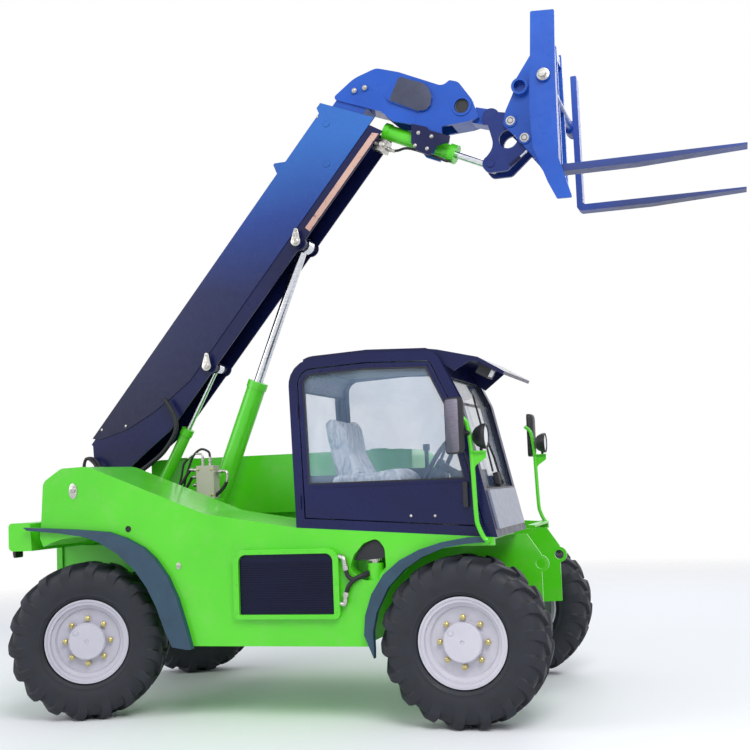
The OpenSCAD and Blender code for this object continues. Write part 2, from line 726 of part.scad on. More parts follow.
module boom_cover() {
    color("#1b1f4f") in_boom_axes() {
        slab(-cover_y - 6, 6) polygon([
            [165, boom_top + 13], [2985, boom_top + 13], [3005, 306], [3049, 306], [3180, -86],
            [961, -95], [776, -52], [604, -4], [386, 86], [204, 209]
        ]);
        translate([165, -cover_y, boom_top + 7]) cube([2890, 2 * cover_y, 6]);
        slab(50, 8) polygon([[2445, boom_top + 8], [2440, 300], [2508, 424], [2522, 424],
            [2665, boom_top + 8]]);
    }
}
module boom_rails() {
    color("#d7b5a5") in_boom_axes() slabs(cover_y, cover_y + 5)
        polygon([[2300, -183], [2300, -140], [3090, -140], [3110, -183]]);
}
module boom_inner() {
    color("#2d62c3") in_boom_axes() difference() {
        slab(-inner_w / 2, inner_w) polygon([
            [420, inner_low], [420, inner_low + inner_h],
            head_line(inner_low + inner_h), head_line(inner_low)
        ]);
        translate([419, -inner_w / 2 + 10, inner_low + 10]) cube([2500, inner_w - 20, inner_h - 20]);
    }
}
function head_line(z) = let (a = head_cut[0], b = head_cut[1],
    t = (z - a[1]) / (b[1] - a[1])) [a[0] + t * (b[0] - a[0]), z];
module head_outline() {
    a = in_boom(head_cut[0]);
    b = in_boom(head_cut[1]);
    polygon(rounded([
        [b[0], b[1], 0], [a[0], a[1], 20], [379, 4152, 250], [540, 4201, 80], [700, 4150, 200],
            [1001, 4011, 60], [1050, 4045, 20],
        [1110, 4025, 60], [1200, 3890, 150], [1240, 3764, 12], [1161, 3747, 30], [940, 3735, 300],
            [649, 3814, 60]
    ]));
}
module boom_head() {
    color("#2d62c3") difference() {
        union() {
            difference() {
                slab(boom_y - 110, 220) head_outline();
                slab(boom_y - 85, 170) polygon([
                    [576, 3909], [310, 4013], [400, 4115], [545, 4172], [690, 4124], [990, 3988],
                        [1050, 3900], [1050, 3650], [620, 3650]
                ]);
            }
            slab(boom_y - 62, 124) polygon([[1100, 3960], [1200, 3890], [1230, 3780], [1161, 3747],
                [1100, 3745]]);
            slab(boom_y - 62, 124) polygon([[1180, 3860], [1330, 3818], [1316, 3708], [1180, 3750]]);
            slabs(85, 110, boom_y) polygon([[787, 3775], [985, 3740], [975, 3640], [942, 3612],
                [911, 3558], [815, 3599], [773, 3662]]);
            slabs(109, 128, boom_y) polygon(rounded([
                [600, 3985, 30], [716, 4113, 30], [881, 4041, 40], [935, 3940, 30], [887, 3856, 30],
                    [828, 3855, 20], [640, 3945, 20]
            ]));
            bars_y([1127, 3856], 132, 100, 118);
            bars_y(tilt_base, 92, 100, 116);
            bar_y(hitch, 112, 124);
        }
        bar_y([1127, 3856], 100, 260);
        bar_y(tilt_base, 50 + 2 * fit, 240);
        bar_y(hitch, 50 + 2 * fit, 240);
    }
}

// ---------- cylinders ----------
// A cylinder's tube from its base eye a towards b, open at the gland end, len long.
module tube_piece(a, b, tube_d, rod_d, len, eye_d, bore_d, eye_w) {
    color("#5ad81e") along(a, b) difference() {
        union() {
            translate([eye_d * 0.4, 0, 0]) rotate([0, 90, 0]) cylinder(d = tube_d, h = len - eye_d * 0.4);
            translate([len - 50, 0, 0]) rotate([0, 90, 0]) cylinder(d = tube_d + 12, h = 50);
            bar_y([0, 0], eye_d, eye_w, 0);
        }
        translate([eye_d * 0.5 + 30, 0, 0]) rotate([0, 90, 0]) cylinder(d = rod_d + 2 * fit, h = len);
        bar_y([0, 0], bore_d + 2 * fit, eye_w + tube_d, 0);
    }
}
// The rod that slides in it, from start to the eye at b.
module rod_piece(a, b, rod_d, start, eye_d, bore_d, eye_w) {
    len = norm(b - a);
    color("#d5d8dc") along(a, b) difference() {
        union() {
            translate([start, 0, 0]) rotate([0, 90, 0]) cylinder(d = rod_d, h = len - start);
            bar_y([len, 0], eye_d, eye_w, 0);
        }
        bar_y([len, 0], bore_d, eye_w + 2, 0);
    }
}
module lift_tube() { tube_piece(lift_base, lift_eye, lift_tube_d, lift_rod_d, 1533, 120, 66, 136); }
module lift_rod() { rod_piece(lift_base, lift_eye, lift_rod_d, 1100, 112, 60, 90); }
module level_tube() { tube_piece(level_base, level_eye, level_tube_d, level_rod_d, 740, 84, 44, 70); }
module level_rod() { rod_piece(level_base, level_eye, level_rod_d, 560, 84, 40, 70); }
module tilt_tube() {
    color("#5ad81e") along(tilt_base, tilt_eye) difference() {
        union() {
            translate([-346, 0, 0]) rotate([0, 90, 0]) cylinder(d = tilt_tube_d, h = 546);
            translate([150, 0, 0]) rotate([0, 90, 0]) cylinder(d = tilt_tube_d + 24, h = 50);
            translate([-346, 0, 0]) rotate([0, 90, 0]) cylinder(d = tilt_tube_d + 14, h = 40);
            bar_y([0, 0], 50, 216, 0);
            bar_y([0, 0], 80, 156, 0);
        }
        translate([-332, 0, 0]) rotate([0, 90, 0]) cylinder(d = tilt_rod_d + 2 * fit, h = 600);
    }
}
module tilt_rod() { rod_piece(tilt_base, tilt_eye, tilt_rod_d, -140, 84, 50, 60); }

// ---------- carriage ----------
module coupler() {
    color("#1f3f96") {
        difference() {
            slabs(68, 92, boom_y) difference() {
                union() {
                    polygon(rounded([
                        [1270, 3810, 50], [1480, 3765, 50], [1600, 3590, 50], [1560, 3520, 50],
                            [1410, 3390, 40], [1270, 3390, 40], [1240, 3460, 40], [1330, 3560, 100]
                    ]));
                    translate(hitch) circle(r = 58);
                    translate(tilt_eye) circle(r = 55);
                }
                translate([1425, 3600]) circle(r = 62);
            }
            bar_y(tilt_eye, 30, 300);
        }
        bar_y(hitch, 50, 184);
        bars_y(tilt_eye, 50, 36, 100);
        bar_y(hook_pin, 40, 260);
        bar_y(lock_pin, 40, 260);
    }
}
module carriage() {
    half = carriage_w / 2;
    post = 158;             // the left post's outer face, from the boom's middle plane
    color("#1f4fae") difference() {
        union() {
            slab(boom_y - half, 16) polygon(rounded([
                [1697, 4212, 10], [1844, 4202, 10], [1830, 3792, 0], [1826, 3281, 0], [1895, 3036, 10],
                    [1802, 3038, 10],
                [1752, 3145, 0], [1671, 3372, 40], [1662, 3600, 0], [1684, 3962, 0]
            ]));
            slabs(97, 117, boom_y) polygon(rounded([
                [1606, 4137, 30], [1776, 4170, 10], [1776, 3260, 10], [1700, 3260, 20], [1600, 3440, 60],
                    [1480, 3600, 80],
                [1400, 3690, 40], [1420, 3780, 60], [1475, 3890, 50], [1490, 3970, 50]
            ]));
            translate([1700, boom_y + 116, 3290]) cube([72, post - 116, 900]);
            bar_y([1529, 3920], 110, 330);
            translate([1700, boom_y - half, 4090]) cube([70, half + post, 60]);
            translate([1700, boom_y - half, 3290]) cube([70, half + post, 80]);
            bar_y(fork_shaft, shaft_d, 2 * half + 40);
            bars_y(fork_shaft, 84, half, half + 20);
            for (side = [-1, 1]) for (p = [hook_pin, lock_pin]) bar_y(p, 84, 12, boom_y + side * 121);
        }
        bars_y(hook_pin, 40 + 2 * fit, 95, 130);
        bars_y(lock_pin, 40 + 2 * fit, 95, 130);
        bar_y([1529, 3920], 78, 70, boom_y - 145);
    }
}
module fork(side) {
    x = 1778;
    color("#24479c") difference() {
        union() {
            slab(boom_y + side * fork_pitch / 2 - fork_w / 2, fork_w) polygon(rounded([
                [x, 4166, 8], [x + fork_t, 4166, 8], [x + fork_t, 3250, 20], [fork_tip_x, 3250, 2],
                    [fork_tip_x, 3238, 2],
                [x + 500, 3206, 0], [x + 20, 3206, 30], [x, 3230, 20]
            ]));
            bar_y(fork_shaft, 92, fork_w, boom_y + side * fork_pitch / 2);
        }
        bar_y(fork_shaft, shaft_d + 2 * fit, 3 * fork_w, boom_y + side * fork_pitch / 2);
    }
}

place() chassis_frame();
place() boom_tower();
place() counterweight();
place() front_axle();
place() rear_axle();
place() side_body(-1);  // side_body_right
place() side_body(1);  // side_body_left
place() fender_lips();
place() engine_block();
place() cooler_frame();
place() cooler_core();
place() filler_neck();
place() cab_frame();
place() cab_roof();
place() cab_glass();
place() cab_front_panel();
place() dashboard();
place() steering_wheel();
place() seat_base();
place() seat_cushions();
place() joystick_console();
place() mirror_rails();
place() mirrors();
place() headlamps();
place() work_lamp();
place() valve_block();
place() cab_door();
place() door_glass();
place() door_handle();
place() engine_cover();
place() boom_outer();
place() boom_cover();
place() boom_rails();
place() boom_inner();
place() boom_head();
place() lift_tube();
place() lift_rod();
place() level_tube();
place() level_rod();
place() tilt_tube();
place() tilt_rod();
place() coupler();
place() carriage();
place() fork(-1);  // fork_right
place() fork(1);  // fork_left
place() at_kingpin(1, -1) knuckle(-1);  // knuckle_front_right
place() at_kingpin(1, 1) knuckle(1);  // knuckle_front_left
place() at_kingpin(-1, -1) knuckle(-1);  // knuckle_rear_right
place() at_kingpin(-1, 1) knuckle(1);  // knuckle_rear_left
place() at_wheel(1, -1) rim();  // rim_front_right
place() at_wheel(1, 1) rim();  // rim_front_left
place() at_wheel(-1, -1) rim();  // rim_rear_right
place() at_wheel(-1, 1) rim();  // rim_rear_left
place() at_wheel(1, -1) tyre(-1);  // tyre_front_right
place() at_wheel(1, 1) tyre(1);  // tyre_front_left
place() at_wheel(-1, -1) tyre(-1);  // tyre_rear_right
place() at_wheel(-1, 1) tyre(1);  // tyre_rear_left
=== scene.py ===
import math
import bpy
import bmesh
from mathutils import Matrix, Vector


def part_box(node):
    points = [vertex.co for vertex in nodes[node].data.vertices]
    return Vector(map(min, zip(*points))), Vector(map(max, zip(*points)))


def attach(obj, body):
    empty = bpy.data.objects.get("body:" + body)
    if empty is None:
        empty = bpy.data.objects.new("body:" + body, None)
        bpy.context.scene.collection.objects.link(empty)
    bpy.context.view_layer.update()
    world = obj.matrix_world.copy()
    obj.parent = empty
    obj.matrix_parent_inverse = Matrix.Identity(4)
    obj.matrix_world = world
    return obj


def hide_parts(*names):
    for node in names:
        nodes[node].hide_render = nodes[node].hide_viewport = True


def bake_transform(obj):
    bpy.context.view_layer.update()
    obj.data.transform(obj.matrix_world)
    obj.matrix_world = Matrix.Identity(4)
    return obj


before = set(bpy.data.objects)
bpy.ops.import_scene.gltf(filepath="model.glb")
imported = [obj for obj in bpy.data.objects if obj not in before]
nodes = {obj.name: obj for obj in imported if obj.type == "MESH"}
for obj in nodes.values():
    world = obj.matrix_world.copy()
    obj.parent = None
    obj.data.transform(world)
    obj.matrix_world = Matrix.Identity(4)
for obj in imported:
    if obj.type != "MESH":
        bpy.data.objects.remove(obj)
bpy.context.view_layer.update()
scene = bpy.context.scene

# sizes below are millimetres from the machine's middle, which lies between the cab and the boom's foot
rest = {"frontAxle": 1220.0, "rearAxle": -1270.0, "kingpin": 665.0, "offset": 175.0, "axleHeight": 480.0,
        "steer": math.radians(20.0), "boomAngle": math.radians(49.8), "boomPlane": 140.0,
        "pivot": (-1600.0, 1480.0)}
rimLow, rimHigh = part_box("rim_front_right")
middleX = (rimLow.x + rimHigh.x) / 2 - rest["frontAxle"] / 1000
toRight = (0, -1, 0)  # the side that the cab's door is on


def at(x, y, z):
    return Vector((x / 1000 + middleX, y / 1000, z / 1000))


def linear(hexText):
    parts = [int(hexText[i:i + 2], 16) / 255 for i in (1, 3, 5)]
    return [c / 12.92 if c <= 0.04045 else ((c + 0.055) / 1.055) ** 2.4 for c in parts] + [1.0]


def grey(value):
    return [value, value, value, 1.0]


# settings go to the node itself or to its sockets, and stops to its colour ramp
def addNode(tree, kind, settings=None, links=None):
    node = tree.nodes.new(kind)
    for key, value in (settings or {}).items():
        if key == "stops":
            for i, (place, colour) in enumerate(value):
                stop = node.color_ramp.elements[i] if i < 2 else node.color_ramp.elements.new(place)
                stop.position = place
                stop.color = colour
        elif isinstance(key, str) and hasattr(node, key):
            setattr(node, key, value)
        else:
            node.inputs[key].default_value = value
    for key, (source, output) in (links or {}).items():
        tree.links.new(source.outputs[output], node.inputs[key])
    return node


paints = {}


def newMaterial(name):
    paints[name] = bpy.data.materials.new(name)
    paints[name].use_nodes = True
    tree = paints[name].node_tree
    tree.nodes.clear()
    shader = addNode(tree, "ShaderNodeBsdfPrincipled")
    addNode(tree, "ShaderNodeOutputMaterial", links={"Surface": (shader, "BSDF")})
    return tree, shader, addNode(tree, "ShaderNodeTexCoord")


# a shader's input follows a pattern: each stop pairs a value of the pattern with what it gives
def follow(tree, shader, socket, pattern, stops, output="Fac"):
    ramp = addNode(tree, "ShaderNodeValToRGB", {"stops": stops}, {"Fac": (pattern, output)})
    tree.links.new(ramp.outputs["Color"], shader.inputs[socket])


# a pattern stands proud of the surface by a distance in metres
def emboss(tree, shader, pattern, strength, distance, output="Fac"):
    bump = addNode(tree, "ShaderNodeBump", {"Strength": strength, "Distance": distance},
                   {"Height": (pattern, output)})
    tree.links.new(bump.outputs["Normal"], shader.inputs["Normal"])


def setInputs(shader, values):
    for socket, value in values.items():
        shader.inputs[socket].default_value = value


# sprayed two-pack enamel: even colour with a clear gloss, a faint orange peel and dust lying in blotches
def enamel(name, colour, shade, dust, roughness=0.28, dustAmount=0.25, peel=0.04, coat=0.35, gloss=0.5,
           grimeScale=9.0, grimeFrom=0.5, grimeTo=0.85):
    tree, shader, coords = newMaterial(name)
    place = {"Vector": (coords, "Object")}
    broad = addNode(tree, "ShaderNodeTexNoise", {"Scale": 1.3, "Detail": 3.0}, place)
    tone = addNode(tree, "ShaderNodeValToRGB", {"stops": [(0.35, linear(shade)), (0.65, linear(colour))]},
                   {"Fac": (broad, "Fac")})
    grime = addNode(tree, "ShaderNodeTexNoise", {"Scale": grimeScale, "Detail": 6.0, "Roughness": 0.7}, place)
    spots = addNode(tree, "ShaderNodeValToRGB",
                    {"stops": [(grimeFrom, grey(0.0)), (grimeTo, grey(dustAmount))]}, {"Fac": (grime, "Fac")})
    mixed = addNode(tree, "ShaderNodeMix", {"data_type": "RGBA", 7: linear(dust)},
                    {0: (spots, "Color"), 6: (tone, "Color")})
    tree.links.new(mixed.outputs[2], shader.inputs["Base Color"])
    # rubbed patches a few centimetres wide scatter the gloss
    rub = addNode(tree, "ShaderNodeTexNoise", {"Scale": 22.0, "Detail": 4.0}, place)
    follow(tree, shader, "Roughness", rub, [(0.3, grey(roughness)), (0.8, grey(roughness + 0.16))])
    # orange peel is about 2 mm across, drawn at 6 mm so that it shows
    peelNoise = addNode(tree, "ShaderNodeTexNoise", {"Scale": 160.0, "Detail": 2.0}, place)
    emboss(tree, shader, peelNoise, peel, 0.002)
    setInputs(shader, {"Coat Weight": coat, "Coat Roughness": 0.12, "Specular IOR Level": gloss})


# thin polythene film over foam: pale, soft gloss, crumpled into folds about 40 mm apart, with painted shade:
# the colour darkens into the folds' hollows
def coverFilm(name, colour, shade):
    tree, shader, coords = newMaterial(name)
    stretch = addNode(tree, "ShaderNodeMapping", {"Scale": (1.0, 1.0, 0.35)}, {"Vector": (coords, "Object")})
    folds = addNode(tree, "ShaderNodeTexNoise", {"Scale": 24.0, "Detail": 5.0, "Distortion": 1.2},
                    {"Vector": (stretch, "Vector")})
    # painted shade: the darker colour lies where the folds sink
    follow(tree, shader, "Base Color", folds, [(0.35, linear(shade)), (0.6, linear(colour))])
    follow(tree, shader, "Roughness", folds, [(0.3, grey(0.3)), (0.7, grey(0.5))])
    emboss(tree, shader, folds, 0.8, 0.012)


# the same enamel on a tall raised part, with a painted reflection: its colour changes with height, as if it
# mirrored the ground low down and the sky higher up
def paintedReflectionEnamel(name, stops, roughness=0.2):
    low, high = stops[0][0], stops[-1][0]  # heights in metres
    tree, shader, coords = newMaterial(name)
    place = {"Vector": (coords, "Object")}
    split = addNode(tree, "ShaderNodeSeparateXYZ", links=place)
    wave = addNode(tree, "ShaderNodeTexNoise", {"Scale": 0.9, "Detail": 3.0}, place)
    shifted = addNode(tree, "ShaderNodeMath", {"operation": "MULTIPLY_ADD", 1: 0.5},
                      {0: (wave, "Fac"), 2: (split, "Z")})
    part = addNode(tree, "ShaderNodeMapRange", {"From Min": low + 0.25, "From Max": high + 0.25},
                   {"Value": (shifted, 0)})
    # the painted reflection's colours, from low to high
    reflectionTones = [((z - low) / (high - low), linear(colour)) for z, colour in stops]
    follow(tree, shader, "Base Color", part, reflectionTones, "Result")
    rub = addNode(tree, "ShaderNodeTexNoise", {"Scale": 18.0, "Detail": 4.0}, place)
    follow(tree, shader, "Roughness", rub, [(0.3, grey(roughness)), (0.8, grey(roughness + 0.14))])
    setInputs(shader, {"Coat Weight": 0.15, "Coat Roughness": 0.1, "Specular IOR Level": 0.3})


# vulcanised rubber: matt, with grey dust rubbed into it; the blue of the tyres' black and the fender lips'
# teal is a painted sheen of the sky
def rubber(name, colour, dusty, scale=14.0, roughness=0.62):
    tree, shader, coords = newMaterial(name)
    place = {"Vector": (coords, "Object")}
    noise = addNode(tree, "ShaderNodeTexNoise", {"Scale": scale, "Detail": 8.0, "Roughness": 0.65}, place)
    follow(tree, shader, "Base Color", noise, [(0.35, linear(colour)), (0.75, linear(dusty))])
    follow(tree, shader, "Roughness", noise, [(0.3, grey(roughness - 0.12)), (0.7, grey(roughness + 0.15))])
    grain = addNode(tree, "ShaderNodeTexNoise", {"Scale": 220.0, "Detail": 3.0}, place)
    emboss(tree, shader, grain, 0.25, 0.002)


# hard chrome on a ground rod, or bright zinc: a mirror with fine marks from handling
def brightMetal(name, colour, shade, roughness=0.12, scratch=0.03):
    tree, shader, coords = newMaterial(name)
    stretch = addNode(tree, "ShaderNodeMapping", {"Scale": (1.0, 1.0, 6.0)}, {"Vector": (coords, "Object")})
    noise = addNode(tree, "ShaderNodeTexNoise", {"Scale": 18.0, "Detail": 6.0},
                    {"Vector": (stretch, "Vector")})
    follow(tree, shader, "Base Color", noise, [(0.3, linear(shade)), (0.7, linear(colour))])
    follow(tree, shader, "Roughness", noise, [(0.3, grey(roughness)), (0.8, grey(roughness + 0.15))])
    emboss(tree, shader, noise, scratch, 0.001)
    setInputs(shader, {"Metallic": 1.0})


# injection moulded plastic: an even fine grain from the mould
def mouldedPlastic(name, colour, shade, roughness=0.45):
    tree, shader, coords = newMaterial(name)
    place = {"Vector": (coords, "Object")}
    noise = addNode(tree, "ShaderNodeTexNoise", {"Scale": 10.0, "Detail": 5.0}, place)
    follow(tree, shader, "Base Color", noise, [(0.35, linear(shade)), (0.7, linear(colour))])
    follow(tree, shader, "Roughness", noise, [(0.3, grey(roughness)), (0.8, grey(roughness + 0.12))])
    grain = addNode(tree, "ShaderNodeTexVoronoi", {"Scale": 300.0}, place)
    emboss(tree, shader, grain, 0.12, 0.001, "Distance")


# toughened glass, tinted: thin and clear, with a faint film of dust; the blue tint and the paler blue of the
# dusty patches are a painted reflection of the sky
def toughenedGlass(name, reflectionTint, dustFilmAndSheen, alpha=0.2):
    tree, shader, coords = newMaterial(name)
    noise = addNode(tree, "ShaderNodeTexNoise", {"Scale": 3.0, "Detail": 5.0}, {"Vector": (coords, "Object")})
    follow(tree, shader, "Alpha", noise, [(0.3, grey(alpha - 0.08)), (0.8, grey(alpha + 0.08))])
    follow(tree, shader, "Base Color", noise, [(0.3, linear(reflectionTint)), (0.8, linear(dustFilmAndSheen))])
    follow(tree, shader, "Roughness", noise, [(0.4, grey(0.03)), (0.9, grey(0.12))])
    setInputs(shader, {"Coat Weight": 1.0, "Coat Roughness": 0.03})


enamel("limeEnamel", "#56D31C", "#4BC714", dust="#9BBB78")
enamel("navyEnamel", "#141A4A", "#10153C", dust="#1C2658",
       roughness=0.25, dustAmount=0.12, peel=0.02, coat=0.08, gloss=0.25)
enamel("blueEnamel", "#1E58BC", "#1748A4", dust="#4A70B0",
       roughness=0.26, dustAmount=0.15, peel=0.02, coat=0.15, gloss=0.35)
enamel("deepBlueEnamel", "#14307E", "#102666", dust="#4A5C8C",
       roughness=0.32, dustAmount=0.2, peel=0.02, coat=0.1, gloss=0.3)
enamel("silverEnamel", "#C9C6D0", "#BAB7C4", dust="#A8A29A", roughness=0.3)
enamel("greyEnamel", "#9298AA", "#82889C", dust="#B4B0A8", roughness=0.35, dustAmount=0.2)
enamel("castingPaint", "#3C4250", "#2E323C", dust="#6E6A60", roughness=0.5, dustAmount=0.4, peel=0.2)
enamel("screenMesh", "#0C1236", "#090E2C", dust="#1C2648",
       roughness=0.3, dustAmount=0.2, peel=0.02, coat=0.05, gloss=0.2)
enamel("valveSteel", "#C2BAB0", "#AEA69C", dust="#867E74", roughness=0.42, dustAmount=0.2, peel=0.02)
# pale paint on the boom's wear strip, with rust coming through in spots a few centimetres wide
enamel("beigeStrip", "#D2AC9C", "#BE968A", dust="#5C3428", roughness=0.5, dustAmount=0.9, peel=0.1, coat=0.1,
       gloss=0.4, grimeScale=26.0, grimeFrom=0.56, grimeTo=0.66)
# polished acrylic lenses have the enamel's clear gloss, with no peel
enamel("redLens", "#B01018", "#8E0C14", dust="#5A2020", roughness=0.1, dustAmount=0.05, peel=0.0)
enamel("amberLens", "#E08010", "#C86E0C", dust="#7A5A30", roughness=0.1, dustAmount=0.05, peel=0.0)
enamel("lampLens", "#E6E8EC", "#D2D6DE", dust="#B4B4B0", roughness=0.08, dustAmount=0.05, peel=0.0)
# painted reflection: the boom cover and the forks are darker low down and bluer higher up
paintedReflectionEnamel("boomCoverPaintedSheen", [(1.9, "#15183A"), (2.7, "#171F4C"), (3.2, "#1D3B84"), (3.8, "#2F66B4")])
paintedReflectionEnamel("forkSteelPaintedSheen", [(3.15, "#2A3560"), (3.28, "#26408C"), (3.7, "#22439C"), (4.2, "#2650AC")], 0.4)
# painted sheen: the tyres' slight blue and the fender lips' teal stand in for the sky mirrored in black
# rubber
rubber("tyreRubber", "#0D0F18", "#232733")
rubber("trimRubber", "#1E3A4E", "#2C4C60", scale=6.0, roughness=0.5)
rubber("blackRubber", "#0C0D12", "#1C1F27", scale=20.0)
rubber("greyFelt", "#6E6764", "#827A74", scale=30.0, roughness=0.9)  # felt is as matt as dusty rubber
brightMetal("hardChrome", "#E8EAEE", "#C6C9D0")
brightMetal("brightZinc", "#CFCDC8", "#A8A6A2", roughness=0.25, scratch=0.02)
brightMetal("yellowZinc", "#CFC48C", "#A89A66", roughness=0.3, scratch=0.02)
brightMetal("mirrorGlass", "#8C8696", "#7C7688", roughness=0.32, scratch=0.0)
mouldedPlastic("blackPlastic", "#191B22", "#101218")
mouldedPlastic("padNylon", "#3A3F58", "#2B2F44", roughness=0.5)
# painted reflection: the glazing's blue stands in for the sky mirrored in the glass
toughenedGlass("glazing", "#7E9CC0", dustFilmAndSheen="#A9C0DA")
coverFilm("seatCover", "#EDF0F4", "#A9B4C4")
wears = {
    "tyreRubber": ["tyre_front_right", "tyre_front_left", "tyre_rear_right", "tyre_rear_left"],
    "silverEnamel": ["rim_front_right", "rim_front_left", "rim_rear_right", "rim_rear_left"],
    "castingPaint": ["front_axle", "rear_axle", "engine_block", "knuckle_front_right", "knuckle_front_left",
                     "knuckle_rear_right", "knuckle_rear_left"],
    "glazing": ["cab_glass", "door_glass"],
    "hardChrome": ["lift_rod", "level_rod", "tilt_rod"],
    "boomCoverPaintedSheen": ["boom_cover"],
    "navyEnamel": ["boom_outer", "cab_frame", "cab_roof", "cab_door"],
    "screenMesh": ["cooler_core"],
    "blueEnamel": ["boom_inner", "boom_head", "carriage"],
    "deepBlueEnamel": ["coupler"],
    "forkSteelPaintedSheen": ["fork_right", "fork_left"],
    "trimRubber": ["fender_lips"],
    "blackPlastic": ["dashboard", "steering_wheel", "seat_base", "seat_cushions", "joystick_console",
                     "mirrors", "headlamps", "work_lamp", "door_handle"],
    "greyEnamel": ["cab_front_panel"],
    "valveSteel": ["valve_block"],
    "brightZinc": ["filler_neck"],
    "beigeStrip": ["boom_rails"],
}
finishOf = {node: name for name, members in wears.items() for node in members}
for name, part in nodes.items():
    part.data.materials.clear()
    part.data.materials.append(paints[finishOf.get(name, "limeEnamel")])
print("stage: finishes on", len(nodes), "solids")


# a point in the boom's own axes: along it from the pivot, sideways to the left, and up from its pivot line
def onBoom(along, aside, up):
    c, s = math.cos(rest["boomAngle"]), math.sin(rest["boomAngle"])
    foot, height = rest["pivot"]
    return at(foot + along * c - up * s, rest["boomPlane"] + aside, height + along * s + up * c)


# a matrix from a wheel's own axes in metres, hub face towards -Y, to its corner of the machine
def wheelFrame(front, side):
    turn = Matrix.Rotation(0.0 if front > 0 else rest["steer"], 4, "Z")
    kingpin = at(rest["frontAxle"] if front > 0 else rest["rearAxle"], side * rest["kingpin"],
                 rest["axleHeight"])
    flip = Matrix.Rotation(math.pi if side > 0 else 0.0, 4, "Z")
    offset = Matrix.Translation((0, side * rest["offset"] / 1000, 0))
    return Matrix.Translation(kingpin) @ turn @ offset @ flip


def addObject(name, data):
    piece = bpy.data.objects.new(name, data)
    scene.collection.objects.link(piece)
    return piece


# the plain mesh that an object's modifiers give
def evaluatedMesh(piece):
    bpy.context.view_layer.update()
    return bpy.data.meshes.new_from_object(piece.evaluated_get(bpy.context.evaluated_depsgraph_get()))


# smooth shading up to an angle in degrees; a piece with no body yet is left free
def placePiece(name, mesh, body, smoothAngle):
    mesh.shade_smooth()
    mesh.set_sharp_from_angle(angle=math.radians(smoothAngle))
    piece = addObject(name, mesh)
    if body:
        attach(piece, body)
    return piece


def addPiece(name, bm, body, paint, smoothAngle=35.0):
    bmesh.ops.remove_doubles(bm, verts=bm.verts, dist=1e-6)
    bmesh.ops.recalc_face_normals(bm, faces=bm.faces)
    mesh = bpy.data.meshes.new(name)
    bm.to_mesh(mesh)
    bm.free()
    mesh.materials.append(paints[paint])
    return placePiece(name, mesh, body, smoothAngle)


def circle(steps):
    return [(math.cos(2 * math.pi * k / steps), math.sin(2 * math.pi * k / steps)) for k in range(steps)]


# faces between each ring of points and the next one, and back to the first where the rings close
def joinRings(bm, rings, closed=False):
    for first, second in zip(rings, rings[1:] + rings[:1] if closed else rings[1:]):
        for k in range(len(first)):
            n = (k + 1) % len(first)
            bm.faces.new((first[k], first[n], second[n], second[k]))


# a solid of revolution from (distance along axis, radius) pairs in millimetres; a hollow one is a ring
def addTurned(bm, place, axis, profile, steps=32, hollow=False):
    axis = Vector(axis).normalized()
    turn = axis.to_track_quat("Z", "Y").to_matrix()
    rings = []
    for along, radius in profile:
        middle = place + axis * along / 1000
        spots = [turn @ Vector((c, s, 0)) * radius / 1000 for c, s in circle(steps)]
        rings.append([bm.verts.new(middle + spot) for spot in (spots if radius > 0 else [Vector()])])
    if hollow:
        joinRings(bm, rings, True)
        return
    for first, second in zip(rings, rings[1:]):
        if len(first) == len(second):
            joinRings(bm, [first, second])
        else:
            tip, base = (first, second) if len(first) == 1 else (second, first)
            for k in range(steps):
                bm.faces.new((tip[0], base[k], base[(k + 1) % steps]))
    for ring in (rings[0], rings[-1]):
        if len(ring) > 1:
            bm.faces.new(ring)


# a plate cut to an outline: place gives each corner's point for a height over the plate's underside
def addPlate(bm, outline, place, low, high, bevel=0.0):
    lower = [bm.verts.new(place(p, low)) for p in outline]
    upper = [bm.verts.new(place(p, high)) for p in outline]
    top = bm.faces.new(upper)
    bm.faces.new(list(reversed(lower)))
    joinRings(bm, [lower, upper])
    if bevel > 0:
        bmesh.ops.bevel(bm, geom=top.edges[:], offset=bevel / 1000, segments=2, affect="EDGES", profile=0.6)


# points on a smooth curve through the given ones
def smoothPath(points, steps=8):
    full = [2 * points[0] - points[1]] + list(points) + [2 * points[-1] - points[-2]]
    path = []
    for a, b, c, d in zip(full, full[1:], full[2:], full[3:]):
        for k in range(steps):
            t = k / steps
            bend = (2 * a - 5 * b + 4 * c - d) * t * t + (3 * b - a - 3 * c + d) * t ** 3
            path.append(0.5 * (2 * b + (c - a) * t + bend))
    return path + [points[-1]]


# a round bar or hose along a path, with closed ends; radiusAt gives its radius for the length run so far
def addSweep(bm, path, radiusAt, steps=16):
    rings, side, run = [], None, 0.0
    for i, point in enumerate(path):
        ahead = (path[min(i + 1, len(path) - 1)] - path[max(i - 1, 0)]).normalized()
        side = ahead.orthogonal() if side is None else side
        side = (side - ahead * side.dot(ahead)).normalized()
        up = ahead.cross(side)
        run += (point - path[i - 1]).length * 1000 if i else 0.0
        radius = (radiusAt(run) if callable(radiusAt) else radiusAt) / 1000
        rings.append([bm.verts.new(point + (side * c + up * s) * radius) for c, s in circle(steps)])
    joinRings(bm, rings)
    bm.faces.new(list(reversed(rings[0])))
    bm.faces.new(rings[-1])


# a hose or a bent tube through a few places
def addHose(bm, places, radius, steps, fineness=8):
    addSweep(bm, smoothPath([at(*place) for place in places], fineness), radius, steps)


